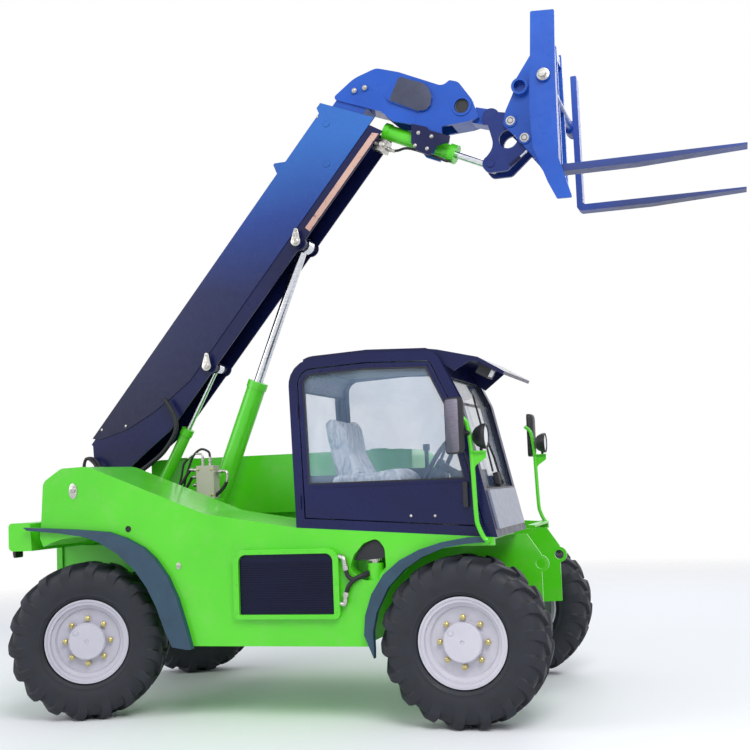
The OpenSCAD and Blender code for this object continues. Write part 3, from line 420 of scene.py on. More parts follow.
# Geometry Nodes put a hexagon head with its washer on every point of a cloud; a point's width is in metres
def boltTree():
    tree = bpy.data.node_groups.new("hexHeads", "GeometryNodeTree")
    face = tree.interface
    sockets = [face.new_socket(name, in_out="INPUT", socket_type=kind) for name, kind in (
        ("Places", "NodeSocketGeometry"), ("Head height", "NodeSocketFloat"),
        ("Washer width", "NodeSocketFloat"), ("Paint", "NodeSocketMaterial"))]
    face.new_socket("Bolts", in_out="OUTPUT", socket_type="NodeSocketGeometry")
    entry = addNode(tree, "NodeGroupInput")
    facing = addNode(tree, "GeometryNodeInputNamedAttribute", {"data_type": "FLOAT_VECTOR", "Name": "facing"})
    size = addNode(tree, "GeometryNodeInputNamedAttribute", {"data_type": "FLOAT", "Name": "width"})
    half = addNode(tree, "ShaderNodeMath", {"operation": "MULTIPLY", 1: 0.5}, {0: (entry, "Head height")})
    lift = addNode(tree, "ShaderNodeCombineXYZ", links={"Z": (half, 0)})
    head = addNode(tree, "GeometryNodeMeshCylinder", {"Vertices": 6, "Radius": 0.577},
                   {"Depth": (entry, "Head height")})
    raised = addNode(tree, "GeometryNodeTransform",
                     links={"Geometry": (head, "Mesh"), "Translation": (lift, 0)})
    crown = addNode(tree, "GeometryNodeMeshCone",
                    {"Vertices": 24, "Radius Top": 0.34, "Radius Bottom": 0.5, "Depth": 0.1})
    top = addNode(tree, "ShaderNodeCombineXYZ", links={"Z": (entry, "Head height")})
    crowned = addNode(tree, "GeometryNodeTransform",
                      links={"Geometry": (crown, "Mesh"), "Translation": (top, 0)})
    rim = addNode(tree, "ShaderNodeMath", {"operation": "MULTIPLY", 1: 0.5}, {0: (entry, "Washer width")})
    ring = addNode(tree, "GeometryNodeMeshCylinder", {"Vertices": 24, "Depth": 0.16}, {"Radius": (rim, 0)})
    joined = addNode(tree, "GeometryNodeJoinGeometry")
    for part in (raised, crowned, ring):
        tree.links.new(part.outputs[0], joined.inputs[0])
    turned = addNode(tree, "FunctionNodeAlignRotationToVector", {"axis": "Z"},
                     {"Vector": (facing, "Attribute")})
    spread = addNode(tree, "GeometryNodeInstanceOnPoints", links={
        "Points": (entry, "Places"), "Instance": (joined, 0), "Rotation": (turned, 0),
        "Scale": (size, "Attribute")})
    real = addNode(tree, "GeometryNodeRealizeInstances", links={0: (spread, 0)})
    painted = addNode(tree, "GeometryNodeSetMaterial", links={0: (real, 0), "Material": (entry, "Paint")})
    addNode(tree, "NodeGroupOutput", links={0: (painted, 0)})
    return tree, [socket.identifier for socket in sockets[1:]]


hexHeads, hexInputs = boltTree()


# bolts from (place, the way it faces, width over its flats); head and washer are shares of that width
def addBolts(name, body, paint, places, headHeight=0.62, washerWidth=1.5):
    cloud = bpy.data.meshes.new(name + "Places")
    cloud.from_pydata([place for place, facing, width in places], [], [])
    cloud.attributes.new("facing", "FLOAT_VECTOR", "POINT")
    cloud.attributes.new("width", "FLOAT", "POINT")
    for i, (place, facing, width) in enumerate(places):
        cloud.attributes["facing"].data[i].vector = Vector(facing).normalized()
        cloud.attributes["width"].data[i].value = width / 1000
    carrier = addObject(name + "Places", cloud)
    modifier = carrier.modifiers.new("hexHeads", "NODES")
    modifier.node_group = hexHeads
    for identifier, value in zip(hexInputs, (headHeight, washerWidth, paints[paint])):
        modifier[identifier] = value
    mesh = evaluatedMesh(carrier)
    mesh.name = name
    carrier.modifiers.clear()
    bpy.data.objects.remove(carrier)
    return placePiece(name, mesh, body, 30.0)


# tyres: lugs of one half lie half a pitch behind the other half's, and their inner ends lead
tyre = {"lugs": 18, "lugShare": 0.42, "wall": 0.03, "lead": math.radians(10.0), "leadFrom": 118.0,
        "leadOver": 106.0}
lugSteps = (-0.04, -0.02, 0.0, 0.02, 0.05, 0.14, 0.24, 0.34, 0.38, 0.40, 0.42, 0.44)  # shares of a pitch
tyreRows = [  # distance from the middle plane and radius, down in the groove and up on the lug
    ((105, 233.6), (105, 233.6)), ((105, 258), (105, 258)), ((119, 261), (119, 261)),
    ((132, 265.5), (132, 265.5)), ((139, 275), (139, 275)), ((145.5, 284), (145.5, 284)),
    ((144.5, 291), (144.5, 291)), ((149.5, 306), (149.5, 306)), ((153.5, 328), (153.5, 328)),
    ((154.8, 352), (154.8, 352)), ((153.4, 378), (154.2, 378)), ((149.5, 400), (154.6, 402)),
    ((145, 414), (154, 421)), ((140, 425), (152, 438)), ((132, 436), (147, 450)), ((121, 445), (135, 464)),
    ((109, 450), (119, 476)), ((88, 452), (94, 478)), ((58, 453.5), (61, 479.2)), ((31, 454), (33, 479.8)),
    ((11, 454), (12, 480)), ((0, 454), (0, 479)),
]


def ease(x):
    x = min(max(x, 0.0), 1.0)
    return x * x * (3 - 2 * x)


# 1 on a lug and 0 in the groove behind it, for a place in the pitch from 0 to 1
def lugHeight(u):
    u = (u + 0.25) % 1.0 - 0.25
    wall = tyre["wall"]
    return ease((u + wall) / (2 * wall)) * ease((tyre["lugShare"] + wall - u) / (2 * wall))


def treadedTyre(place, side):
    pitch = 2 * math.pi / tyre["lugs"]
    shares = sorted(set(round(u + shift, 3) for u in lugSteps for shift in (0.0, 0.5)))
    rows = [(row, -1) for row in tyreRows] + [(row, 1) for row in reversed(tyreRows[:-1])]
    bm = bmesh.new()
    rings = []
    for ((lowY, lowR), (highY, highR)), half in rows:
        lead = side * tyre["lead"] * min(max((tyre["leadFrom"] - lowY) / tyre["leadOver"], -0.25), 1.0)
        ring = []
        for u in (lug + share for lug in range(tyre["lugs"]) for share in shares):
            heights = lugHeight(u % 1.0), lugHeight((u + 0.5) % 1.0)
            h = sum(heights) / 2 if lowY == 0 else heights[0 if half < 0 else 1]
            y, r, angle = half * (lowY + (highY - lowY) * h), lowR + (highR - lowR) * h, u * pitch + lead
            ring.append(bm.verts.new(place @ (Vector((r * math.cos(angle), y, r * math.sin(angle))) / 1000)))
        rings.append(ring)
    joinRings(bm, rings, True)
    return bm


# the wheel's own fittings: nuts on their circle, the hub's plug and the rim's two raised rings
hub = {"nutCircle": 137.5, "nutCount": 8, "nutFace": -85.5, "nutWidth": 27.0, "plug": (-66, -124.5, 56),
       "plugProfile": [(0, 17), (3.5, 17), (5, 15), (5, 12), (3, 11), (3, 0)],
       "rings": ((247.5, -125.2), (226, -116.5))}
for corner, front, side in (("front_right", 1, -1), ("front_left", 1, 1), ("rear_right", -1, -1),
                            ("rear_left", -1, 1)):
    place = wheelFrame(front, side)
    outward = place.to_3x3() @ Vector(toRight)
    body = "wheel_" + corner
    piece = addPiece("treadedTyre_" + corner, treadedTyre(place, side), body, "tyreRubber", 28.0)
    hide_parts("tyre_" + corner)
    nuts = [place @ (Vector((hub["nutCircle"] * c, hub["nutFace"], hub["nutCircle"] * s)) / 1000)
            for c, s in circle(hub["nutCount"])]
    addBolts("wheelNuts_" + corner, body, "yellowZinc", [(nut, outward, hub["nutWidth"]) for nut in nuts],
             0.5, 1.3)
    bm = bmesh.new()
    addTurned(bm, place @ (Vector(hub["plug"]) / 1000), outward, hub["plugProfile"], 24)
    for radius, face in hub["rings"]:
        bead = [(-3, radius - 2.2), (0.4, radius - 1.6), (0.4, radius + 1.6), (-3, radius + 2.2)]
        addTurned(bm, place @ Vector((0, face / 1000, 0)), outward, bead, 96, hollow=True)
    addPiece("hubPlugs_" + corner, bm, body, "silverEnamel")
print("stage: tyres and wheel nuts")

# the boom: pin keepers with their bolts, the cover's screws and bosses, placed along and up from the pivot
boomTrim = {"eyes": ((2190, -156), (1120, -148)),
            "keeperFace": -163.0, "keeperThick": 6.0, "keeperBolt": (58, 46),
            "keeperTurn": math.radians(38.0), "keeperEnds": (((0, 0), 34, 60, 300), ((74, 0), 17, 300, 420)),
            "pin": [(0, 20), (4, 20), (6, 17), (6, 9), (3, 7), (3, 0)],
            "coverFace": -134.0, "screws": ((262, 246), (400, 108), (2960, 262)),
            "bosses": ((2739, 6), (2960, 180)),
            "boss": [(0, 26), (3, 26), (4.5, 24), (4.5, 17), (3, 16), (3, 0)]}


# two round ends of a keeper plate, from each end's centre, radius and first and last angle
def keeperOutline():
    outline = []
    c, s = math.cos(boomTrim["keeperTurn"]), math.sin(boomTrim["keeperTurn"])
    for (middle, height), radius, first, last in boomTrim["keeperEnds"]:
        for k in range(13):
            a = math.radians(first + (last - first) * k / 12)
            x, y = middle + radius * math.cos(a), height + radius * math.sin(a)
            outline.append((x * c - y * s, x * s + y * c))
    return outline


bm = bmesh.new()
bolts = []
keeperTop = boomTrim["keeperFace"] - boomTrim["keeperThick"]
for along, up in boomTrim["eyes"]:
    addPlate(bm, keeperOutline(), lambda p, h: onBoom(along + p[0], boomTrim["keeperFace"] - h, up + p[1]),
             0, boomTrim["keeperThick"], 1.5)
    addTurned(bm, onBoom(along, keeperTop, up), toRight, boomTrim["pin"], 24)
    bolts.append((onBoom(along + boomTrim["keeperBolt"][0], keeperTop, up + boomTrim["keeperBolt"][1]),
                  toRight, 13))
addPiece("pinKeepers", bm, "boom", "brightZinc")
addBolts("keeperBolts", "boom", "brightZinc", bolts)
screws = [(onBoom(along, boomTrim["coverFace"] - 1, up), toRight, 10) for along, up in boomTrim["screws"]]
addBolts("coverScrews", "boom", "brightZinc", screws, 0.4, 1.7)
bm = bmesh.new()
for along, up in boomTrim["bosses"]:
    addTurned(bm, onBoom(along, boomTrim["coverFace"] + 2, up), toRight, boomTrim["boss"], 28)
addPiece("coverBosses", bm, "boom", "boomCoverPaintedSheen")

# a corrugated sleeve holds the hoses that cross the boom's pivot: its route is along the boom and up
sleeve = {"radius": 17.0, "rib": 2.2, "pitch": 14.0, "aside": -182.0, "blendOver": (-30, 10),
          "route": [(748, -40), (728, -110), (700, -180), (650, -235), (577, -262), (445, -265), (315, -233),
                    (160, -190), (60, -220), (0, -300)]}


def sleeveRadius(run):
    return sleeve["radius"] - sleeve["rib"] * (0.5 - 0.5 * math.cos(2 * math.pi * run / sleeve["pitch"]))


path = smoothPath([onBoom(along, sleeve["aside"], up) for along, up in sleeve["route"]], 24)
bm = bmesh.new()
addSweep(bm, path, sleeveRadius, 14)
loop = addPiece("boomHoseSleeve", bm, None, "blackRubber", 60.0)
start, end = (tuple(path[i]) for i in sleeve["blendOver"])
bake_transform(loop)

# two hoses arch over behind the tower, the second inside the first
pivotHose = {"radius": 11, "aside": -46, "inset": 34}
bm = bmesh.new()
for inset in (0, pivotHose["inset"]):
    arch = [(-1705 + inset, 1420), (-1738 + inset * 0.7, 1560), (-1716 + inset * 0.5, 1632),
            (-1650, 1626 - inset * 0.4), (-1610 - inset * 0.2, 1560), (-1600, 1440)]
    addHose(bm, [(x, pivotHose["aside"] - inset * 0.9, z) for x, z in arch], pivotHose["radius"], 12)
addPiece("pivotHoses", bm, "chassis", "blackRubber", 60.0)
print("stage: boom trim and hoses")

# valve block beside the lift cylinder, with its unions, elbows and hoses
valve = {"front": -690, "back": -820, "aside": -65, "top": 1546, "boltFace": -110,
         "union": [(0, 13), (14, 13), (15, 10), (30, 10), (31, 14), (46, 14), (47, 9), (60, 9)],
         "plugPlace": (-800, -80, 1330), "plug": [(0, 21), (40, 21), (46, 16), (62, 16), (66, 12), (66, 0)]}
ports = [  # place on the block and the way that the union points
    ((valve["back"], -90, 1516), (-1, 0, 0.1)), ((valve["back"], -60, 1470), (-1, 0, 0)),
    ((valve["back"], -45, 1420), (-1, 0, -0.1)), ((valve["front"], -70, 1500), (1, 0, 0.05)),
    ((-790, valve["aside"], valve["top"]), (0, 0, 1)), ((-735, valve["aside"], valve["top"]), (0, 0, 1)),
]
elbows = [  # radius, sides and places of the steel pipes
    (11, 14, [(-632, -70, 1503), (-612, -70, 1496), (-606, -70, 1460), (-612, -70, 1428)]),
    (7, 12, [(-790, -65, 1600), (-800, -65, 1625), (-850, -65, 1630), (-905, -62, 1600)]),
]
bm = bmesh.new()
for place, direction in ports:
    addTurned(bm, at(*place), direction, valve["union"], 16)
addTurned(bm, at(*valve["plugPlace"]), (0, 0, -1), valve["plug"], 20)
for radius, steps, places in elbows:
    addHose(bm, places, radius, steps, 6)
addPiece("valveUnions", bm, "chassis", "brightZinc")
valveHoses = [  # radius and places
    (11, [(-876, -90, 1520), (-905, -92, 1480), (-945, -95, 1430), (-1030, -100, 1375), (-1130, -110, 1300)]),
    (10, [(-878, -60, 1470), (-915, -60, 1410), (-960, -60, 1360), (-1050, -60, 1330), (-1130, -60, 1250)]),
    (12, [(-612, -70, 1430), (-640, -72, 1385), (-700, -78, 1335), (-780, -84, 1290), (-871, -90, 1262),
          (-950, -90, 1270), (-1040, -90, 1240)]),
    (8, [(-735, -65, 1600), (-745, -66, 1640), (-800, -68, 1660), (-860, -64, 1620), (-900, -60, 1540),
         (-935, -58, 1440), (-960, -56, 1300)]),
    (8, [(-905, -62, 1600), (-940, -60, 1560), (-960, -58, 1480), (-990, -58, 1380)]),
]
bm = bmesh.new()
for radius, places in valveHoses:
    addHose(bm, places, radius, 14)
addPiece("valveHoses", bm, "chassis", "blackRubber", 60.0)
bolts = [(at(x, valve["boltFace"], z), toRight, 13) for x in (-805, -705) for z in (1345, 1520)]
addBolts("valveBolts", "chassis", "yellowZinc", bolts)
print("stage: valve block")

# the boom's head: a nylon wear pad in the opening of its near cheek, bolts, a dark trunnion cheek, a bore cap
head = {"padFace": 12, "cheekFace": 31.0, "cheekThick": 14, "boltFace": 17, "bore": (1127, 36, 3856),
        "pad": [(700, 4098), (716, 4108), (881, 4038), (912, 3998), (928, 3947), (918, 3885), (887, 3858),
                (828, 3857), (640, 3952), (636, 3972)],
        "cheek": [(778, 3778), (884, 3742), (900, 3716), (1040, 3660), (1032, 3622), (944, 3606), (914, 3560),
                  (882, 3552), (800, 3596), (770, 3648)],
        "padBolts": ((384, 4060), (460, 4069)),
        "cheekBolts": ((824, 3709), (914, 3673), (798, 3625), (880, 3594)),
        "cap": [(-12, 49), (0, 49), (1.5, 46), (0, 40), (-3, 38), (-3, 0)]}
bm = bmesh.new()
addPlate(bm, head["pad"], lambda p, h: at(p[0], head["padFace"] - h, p[1]), -3, 3.5, 1.5)
addPiece("headPad", bm, "extension", "padNylon")
bolts = [(at(x, head["padFace"], z), toRight, 22) for x, z in head["padBolts"]]
addBolts("headBolts", "extension", "brightZinc", bolts, 0.5, 1.6)
bolts = [(at(x, head["boltFace"], z), toRight, 17) for x, z in head["cheekBolts"]]
addBolts("trunnionBolts", "extension", "brightZinc", bolts, 0.6)
bm = bmesh.new()
addPlate(bm, head["cheek"], lambda p, h: at(p[0], head["cheekFace"] - h, p[1]), 0, head["cheekThick"], 2)
addPiece("trunnionCheek", bm, "extension", "navyEnamel")
bm = bmesh.new()
addTurned(bm, at(*head["bore"]), toRight, head["cap"], 40)
addPiece("headBoreCap", bm, "extension", "blackPlastic")

# tilt cylinder: a zinc lock valve under its closed end and a pipe to the rod end
tilt = {"foot": (570, 126, 3781), "half": 52, "corner": 6, "blockFrom": 62, "blockDeep": 84,
        "port": [(0, 14), (12, 14), (13, 10), (26, 10), (27, 13), (38, 13), (39, 0)],
        "outlet": [(0, 15), (26, 15), (28, 11), (52, 11), (54, 8), (54, 0)],
        "pipe": [(98, 0, 110), (130, 0, 96), (180, -22, 72), (250, -30, 62), (400, -28, 62), (480, -20, 66),
                 (506, -14, 58)]}
tiltAxis = (at(1300, 0, 3450) - at(870, 0, 3645)).normalized()
below = Vector((tiltAxis.z, 0, -tiltAxis.x))


# a point along the cylinder from its foot, to the left, and down below its middle line
def onTilt(along, aside, down):
    return at(*tilt["foot"]) + (tiltAxis * along + Vector((0, aside, 0)) + below * down) / 1000


def cutCorners(low, high, cut):
    (x0, y0), (x1, y1) = low, high
    return [(x0, y0 + cut), (x0 + cut, y0), (x1 - cut, y0), (x1, y0 + cut),
            (x1, y1 - cut), (x1 - cut, y1), (x0 + cut, y1), (x0, y1 - cut)]


bm = bmesh.new()
block = cutCorners((-tilt["half"], -tilt["half"]), (tilt["half"], tilt["half"]), tilt["corner"])
addPlate(bm, block, lambda p, h: onTilt(p[0], p[1], tilt["blockFrom"] + h), 0, tilt["blockDeep"], 4)
for along in (-30, 28):
    addTurned(bm, onTilt(along, -54, 105), toRight, tilt["port"], 16)
addTurned(bm, onTilt(55, 0, 110), tiltAxis, tilt["outlet"], 18)
addPiece("tiltLockValve", bm, "tilt_barrel", "brightZinc")
bm = bmesh.new()
addSweep(bm, smoothPath([onTilt(*place) for place in tilt["pipe"]]), 9, 12)
endAlong, endAside, endDown = tilt["pipe"][-1]
addTurned(bm, onTilt(endAlong, endAside, endDown - 4), -below, [(-10, 14), (14, 14), (15, 0)], 6)
addPiece("tiltPipe", bm, "tilt_barrel", "blackRubber", 60.0)
print("stage: boom head")

# a small cylinder on the coupler's cheek works the lock pin
lock = {"heel": (1436, -4, 3404), "toe": (1548, -4, 3484), "rodFrom": 88,
        "barrel": [(0, 9), (2, 13), (84, 13), (86, 10), (90, 10)],
        "rod": [(0, 6), (44, 6), (45, 9), (58, 9), (59, 7)]}
heel = at(*lock["heel"])
reach = (at(*lock["toe"]) - heel).normalized()
bm = bmesh.new()
addTurned(bm, heel, reach, lock["barrel"], 20)
addPiece("lockBarrel", bm, "fork_carriage", "navyEnamel")
bm = bmesh.new()
addTurned(bm, heel + reach * lock["rodFrom"] / 1000, reach, lock["rod"], 16)
addPiece("lockRod", bm, "fork_carriage", "hardChrome")

# the carriage: pin washers on the coupler and the retaining nut of the forks' shaft
carriage = {"pins": ((1452, 3709), (1539, 3585)),
            "pin": [(0, 31), (4, 31), (5.5, 29), (5.5, 17), (8, 15), (8, 0)],
            "shaft": (1760, -500, 3803), "nut": [(0, 33), (6, 33), (7, 26), (30, 26), (33, 22), (33, 0)],
            "washer": [(-3, 38), (1, 38), (2, 36), (2, 0)]}
bm = bmesh.new()
for x, z in carriage["pins"]:
    addTurned(bm, at(x, 16, z), toRight, carriage["pin"], 28)
addTurned(bm, at(*carriage["shaft"]), toRight, carriage["nut"], 6)
addTurned(bm, at(*carriage["shaft"]), toRight, carriage["washer"], 28)
addPiece("carriagePins", bm, "fork_carriage", "brightZinc")
print("stage: carriage")

# latches, plugs and hoses on the side bodies; a latch has its x and z, the side, its width and height
latches = {"bodyLatches": ("chassis", 930, [(-1255, 1407, -1, 58, 100),
                                            (-532, 931, -1, 30, 44), (-532, 931, 1, 30, 44)]),
           "hoodLatches": ("engine_hood", 927, [(-1180, 1285, 1, 46, 80), (380, 1285, 1, 46, 80)])}
for name, (body, face, members) in latches.items():
    bm = bmesh.new()
    for x, z, side, width, height in members:
        oval = [(width / 2 * c, height / 2 * s) for c, s in circle(28)]
        addPlate(bm, oval, lambda p, h: at(x + p[0], side * (face + h), z + p[1]), 0, 4, 1.6)
        knob = [(0, width * 0.3), (6, width * 0.3), (8, width * 0.25),
                (8, width * 0.12), (5, width * 0.1), (5, 0)]
        addTurned(bm, at(x, side * (face + 4), z + height * 0.08), (0, side, 0), knob, 24)
    addPiece(name, bm, body, "brightZinc")
plugs = {"x": -871, "z": 1162, "face": 930,
         "profile": [(0, 19), (3, 19), (4, 17), (4, 13), (1.5, 11), (1.5, 0)]}
bm = bmesh.new()
for side in (-1, 1):
    addTurned(bm, at(plugs["x"], side * plugs["face"], plugs["z"]), (0, side, 0), plugs["profile"], 28)
addPiece("bodyPlugs", bm, "chassis", "blackRubber")

# two hoses run from the oil cooler's unions into the recess behind it; the first three places are the union's
cooler = {"hose": 13.0, "union": 15.0, "face": -965, "screwsX": (-142, 487), "screwsZ": (655, 817, 985),
          "topScrewsX": (20, 172, 325), "topScrewsZ": 1004}
hoses = [  # the way that the union turns, and places
    (1, [(506, -948, 972), (536, -955, 955), (546, -958, 905), (558, -958, 862), (588, -955, 838),
         (630, -945, 855), (668, -900, 872)]),
    (-1, [(506, -948, 700), (535, -955, 702), (542, -957, 750), (562, -957, 800), (600, -953, 838),
          (640, -935, 852), (672, -895, 862)]),
]
hoseMesh, unionMesh = bmesh.new(), bmesh.new()
for bend, places in hoses:
    x, y, z = places[2]
    addHose(hoseMesh, places[2:], cooler["hose"], 14)
    addHose(unionMesh, places[:3] + [(x + 4, y, z - bend * 16)], cooler["union"], 16)
    addTurned(unionMesh, at(x + 1, y, z + bend * 8), (0.1, 0, -bend),
              [(0, 18), (18, 18), (20, 16), (20, 0)], 6)
addPiece("coolerHoses", hoseMesh, "chassis", "blackRubber", 60.0)
addPiece("coolerUnions", unionMesh, "chassis", "brightZinc")
# a black plate across the top of the filler's recess is painted shade, where the recess's top lies in shadow
recessShade = {"face": -904, "outline": [(586, 942), (594, 964), (612, 994), (640, 1024), (686, 1050), (728, 1060),
                                  (760, 1040), (774, 1000), (779, 955), (720, 948), (650, 944)]}
bm = bmesh.new()
addPlate(bm, recessShade["outline"], lambda p, h: at(p[0], recessShade["face"] - h, p[1]), 0, 5, 1.5)
addPiece("fillerRecessShade", bm, "chassis", "blackPlastic")
spots = [(x, z) for x in cooler["screwsX"] for z in cooler["screwsZ"]]
spots += [(x, cooler["topScrewsZ"]) for x in cooler["topScrewsX"]]
screws = [(at(x, cooler["face"], z), toRight, 8) for x, z in spots]
addBolts("coolerScrews", "chassis", "limeEnamel", screws, 0.35, 1.6)

# tail lamps on the rear faces: name, material, low and high corner, near and far depth, bevel
lamps = {"face": -1745, "aside": 800, "height": 1080}
lampParts = [("tailLampsRed", "redLens", (-30, -74), (30, 14), 6, 30, 5),
             ("tailLampsAmber", "amberLens", (-30, 6), (30, 68), 6, 30, 5),
             ("tailLampHousings", "blackPlastic", (-40, -86), (40, 82), 0, 18, 3)]
for name, paint, low, high, near, far, bevel in lampParts:
    bm = bmesh.new()
    for side in (-1, 1):
        addPlate(bm, cutCorners(low, high, 6), lambda p, h: at(
            lamps["face"] - h, side * lamps["aside"] + p[0], lamps["height"] + p[1]), near, far, bevel)
    addPiece(name, bm, "chassis", paint)
print("stage: body trim")


# the outlines of a node's faces that look one way, as closed loops of points
def faceLoops(node, direction, least=0.2):
    direction = Vector(direction).normalized()
    part = nodes[node]
    bm = bmesh.new()
    bm.from_mesh(part.data)
    bm.transform(part.matrix_world)
    bmesh.ops.remove_doubles(bm, verts=bm.verts, dist=1e-5)
    bm.normal_update()
    facing = {f for f in bm.faces if f.normal.dot(direction) > 0.97}
    border = [e for e in bm.edges if sum(f in facing for f in e.link_faces) == 1]
    beside = {}
    for edge in border:
        for vert in edge.verts:
            beside.setdefault(vert, []).append(edge)
    loops, used = [], set()
    for edge in border:
        if edge in used:
            continue
        vert, loop = edge.verts[0], []
        while edge is not None and edge not in used:
            used.add(edge)
            loop.append(vert.co.copy())
            vert = edge.other_vert(vert)
            edge = next((e for e in beside[vert] if e not in used), None)
        if loopLength(loop) > least:
            loops.append(loop)
    bm.free()
    return loops


def loopLength(loop):
    return sum((a - b).length for a, b in zip(loop, loop[1:]))


# a rounded bead of rubber laid around a flat loop and sunk 1 mm into it
def addSeal(bm, loop, direction, width, height, sink=1.0):
    direction = Vector(direction).normalized()
    clean = [p for i, p in enumerate(loop) if (p - loop[i - 1]).length > 0.004]
    bead = [(-0.5, 0), (-0.5, 0.55), (-0.3, 0.9), (0, 1.0), (0.3, 0.9), (0.5, 0.55), (0.5, 0)]
    lines = []
    for i, point in enumerate(clean):
        before = (point - clean[i - 1]).normalized()
        after = (clean[(i + 1) % len(clean)] - point).normalized()
        outward = (before + after).normalized().cross(direction).normalized()
        stretch = 1 / max(0.6, before.cross(direction).normalized().dot(outward))
        wide = width * stretch / 1000
        lines.append([bm.verts.new(point + outward * u * wide + direction * (v * height - sink) / 1000)
                      for u, v in bead])
    joinRings(bm, lines, True)


# the cab's seals: the way that each run of glass looks, the windscreen's first, and the seal's width
cab = {"screenFoot": (1357, 1330), "screenSlope": -0.206, "sealHeight": 8,
       "seals": (((1, 0, 0.206), 18), ((-1, 0, 0), 16), ((0, 1, 0), 16)),
       "liner": [(340, -850), (1130, -850), (1130, -130), (340, -130)], "linerFoot": 2066, "linerThick": 14,
       "doorBolts": ((944, 1190), (1086, 1186)), "doorFace": -931}
bm = bmesh.new()
for direction, width in cab["seals"]:
    for loop in faceLoops("cab_glass", direction):
        addSeal(bm, loop, direction, width, cab["sealHeight"])
addPiece("cabGlassSeals", bm, "chassis", "blackRubber", 50.0)
bm = bmesh.new()
addPlate(bm, cab["liner"], lambda p, h: at(p[0], p[1], cab["linerFoot"] + h), 0, cab["linerThick"], 5)
addPiece("headliner", bm, "chassis", "greyFelt")
bolts = [(at(x, cab["doorFace"], z), toRight, 9) for x, z in cab["doorBolts"]]
addBolts("doorBolts", "door", "brightZinc", bolts, 0.4, 1.7)


# a point that stands proud of the leaning windscreen
def onScreen(y, z, proud):
    foot, height = cab["screenFoot"]
    return at(foot + cab["screenSlope"] * (z - height) + proud, y, z - proud * cab["screenSlope"])


wiper = {"motor": (-470, 1378), "pivot": (-470, 1352, 30),
         "arm": [(-470, 1352, 30), (-520, 1500, 32), (-575, 1640, 22)],
         "blade": [(-560, 1420, 13), (-575, 1640, 16), (-590, 1880, 13)],
         "boss": [(0, 15), (12, 15), (15, 12), (15, 0)],
         "case": [(-70, -32), (-62, -40), (62, -40), (70, -32), (70, 26), (60, 36), (-60, 36), (-70, 26)]}
bm = bmesh.new()
addSweep(bm, [onScreen(*place) for place in wiper["arm"]], 7, 10)
addSweep(bm, [onScreen(*place) for place in wiper["blade"]], 6, 8)
addPlate(bm, wiper["case"],
         lambda p, h: onScreen(wiper["motor"][0] + p[0], wiper["motor"][1] + p[1], h), 4, 34, 6)
addTurned(bm, onScreen(*wiper["pivot"]), (1, 0, 0.2), wiper["boss"], 20)
addPiece("windscreenWiper", bm, "chassis", "blackPlastic")


def roundedOutline(width, height, radius, steps=6):
    points = []
    for right, top, start in ((1, 1, 0), (-1, 1, 90), (-1, -1, 180), (1, -1, 270)):
        for k in range(steps + 1):
            a = math.radians(start + 90 * k / steps)
            points.append((right * (width / 2 - radius) + radius * math.cos(a),
                           top * (height / 2 - radius) + radius * math.sin(a)))
    return points


# mirrors: a moulded shell on an arm, with its glass set in; each has its x, y and turn in degrees
mirrors = {"places": ((1262, -1075, -40.0), (1297, 1094, -90.0)), "width": 140.0, "height": 314.0,
           "foot": 1525.0,
           "shell": ((-22, 10, 20), (-22, 2, 24), (-17, 0, 26), (4, 2, 28), (16, 16, 34), (22, 44, 26)),
           "glassInset": 20, "glassFace": -22.2, "glassRadius": 16, "armHeight": 1640, "armFoot": 1312,
           "arms": ((-1, 96, 1290), (1, 40, 1297)), "clamp": [(0, 17), (14, 17), (16, 14), (16, 0)]}
shells, glass = bmesh.new(), bmesh.new()
for x, y, turn in mirrors["places"]:
    middle = Matrix.Translation(at(x, y, mirrors["foot"] + mirrors["height"] / 2))
    turned = middle @ Matrix.Rotation(math.radians(turn), 4, "Z")
    rings = []
    for depth, shrink, radius in mirrors["shell"]:
        outline = roundedOutline(mirrors["width"] - shrink, mirrors["height"] - shrink, radius)
        rings.append([shells.verts.new(turned @ (Vector((p[0], depth, p[1])) / 1000)) for p in outline])
    joinRings(shells, rings)
    shells.faces.new(rings[0])
    shells.faces.new(list(reversed(rings[-1])))
    pane = roundedOutline(mirrors["width"] - mirrors["glassInset"], mirrors["height"] - mirrors["glassInset"],
                          mirrors["glassRadius"])
    addPlate(glass, pane,
             lambda p, h: turned @ (Vector((p[0], mirrors["glassFace"] - h, p[1])) / 1000), 0, 1.6, 0.6)
for side, reach, tip in mirrors["arms"]:
    foot, height = mirrors["armFoot"], mirrors["armHeight"]
    arm = [(foot, side * 1000, height), (foot - 4, side * (1000 + reach * 0.6), height),
           (tip, side * (1000 + reach), height)]
    addHose(shells, arm, 8, 12, 6)
    addTurned(shells, at(foot, side * 998, height), (0, side, 0), mirrors["clamp"], 20)
housings = addPiece("mirrorHousings", shells, "chassis", "blackPlastic")
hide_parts("mirrors")
addPiece("mirrorGlasses", glass, "chassis", "mirrorGlass")

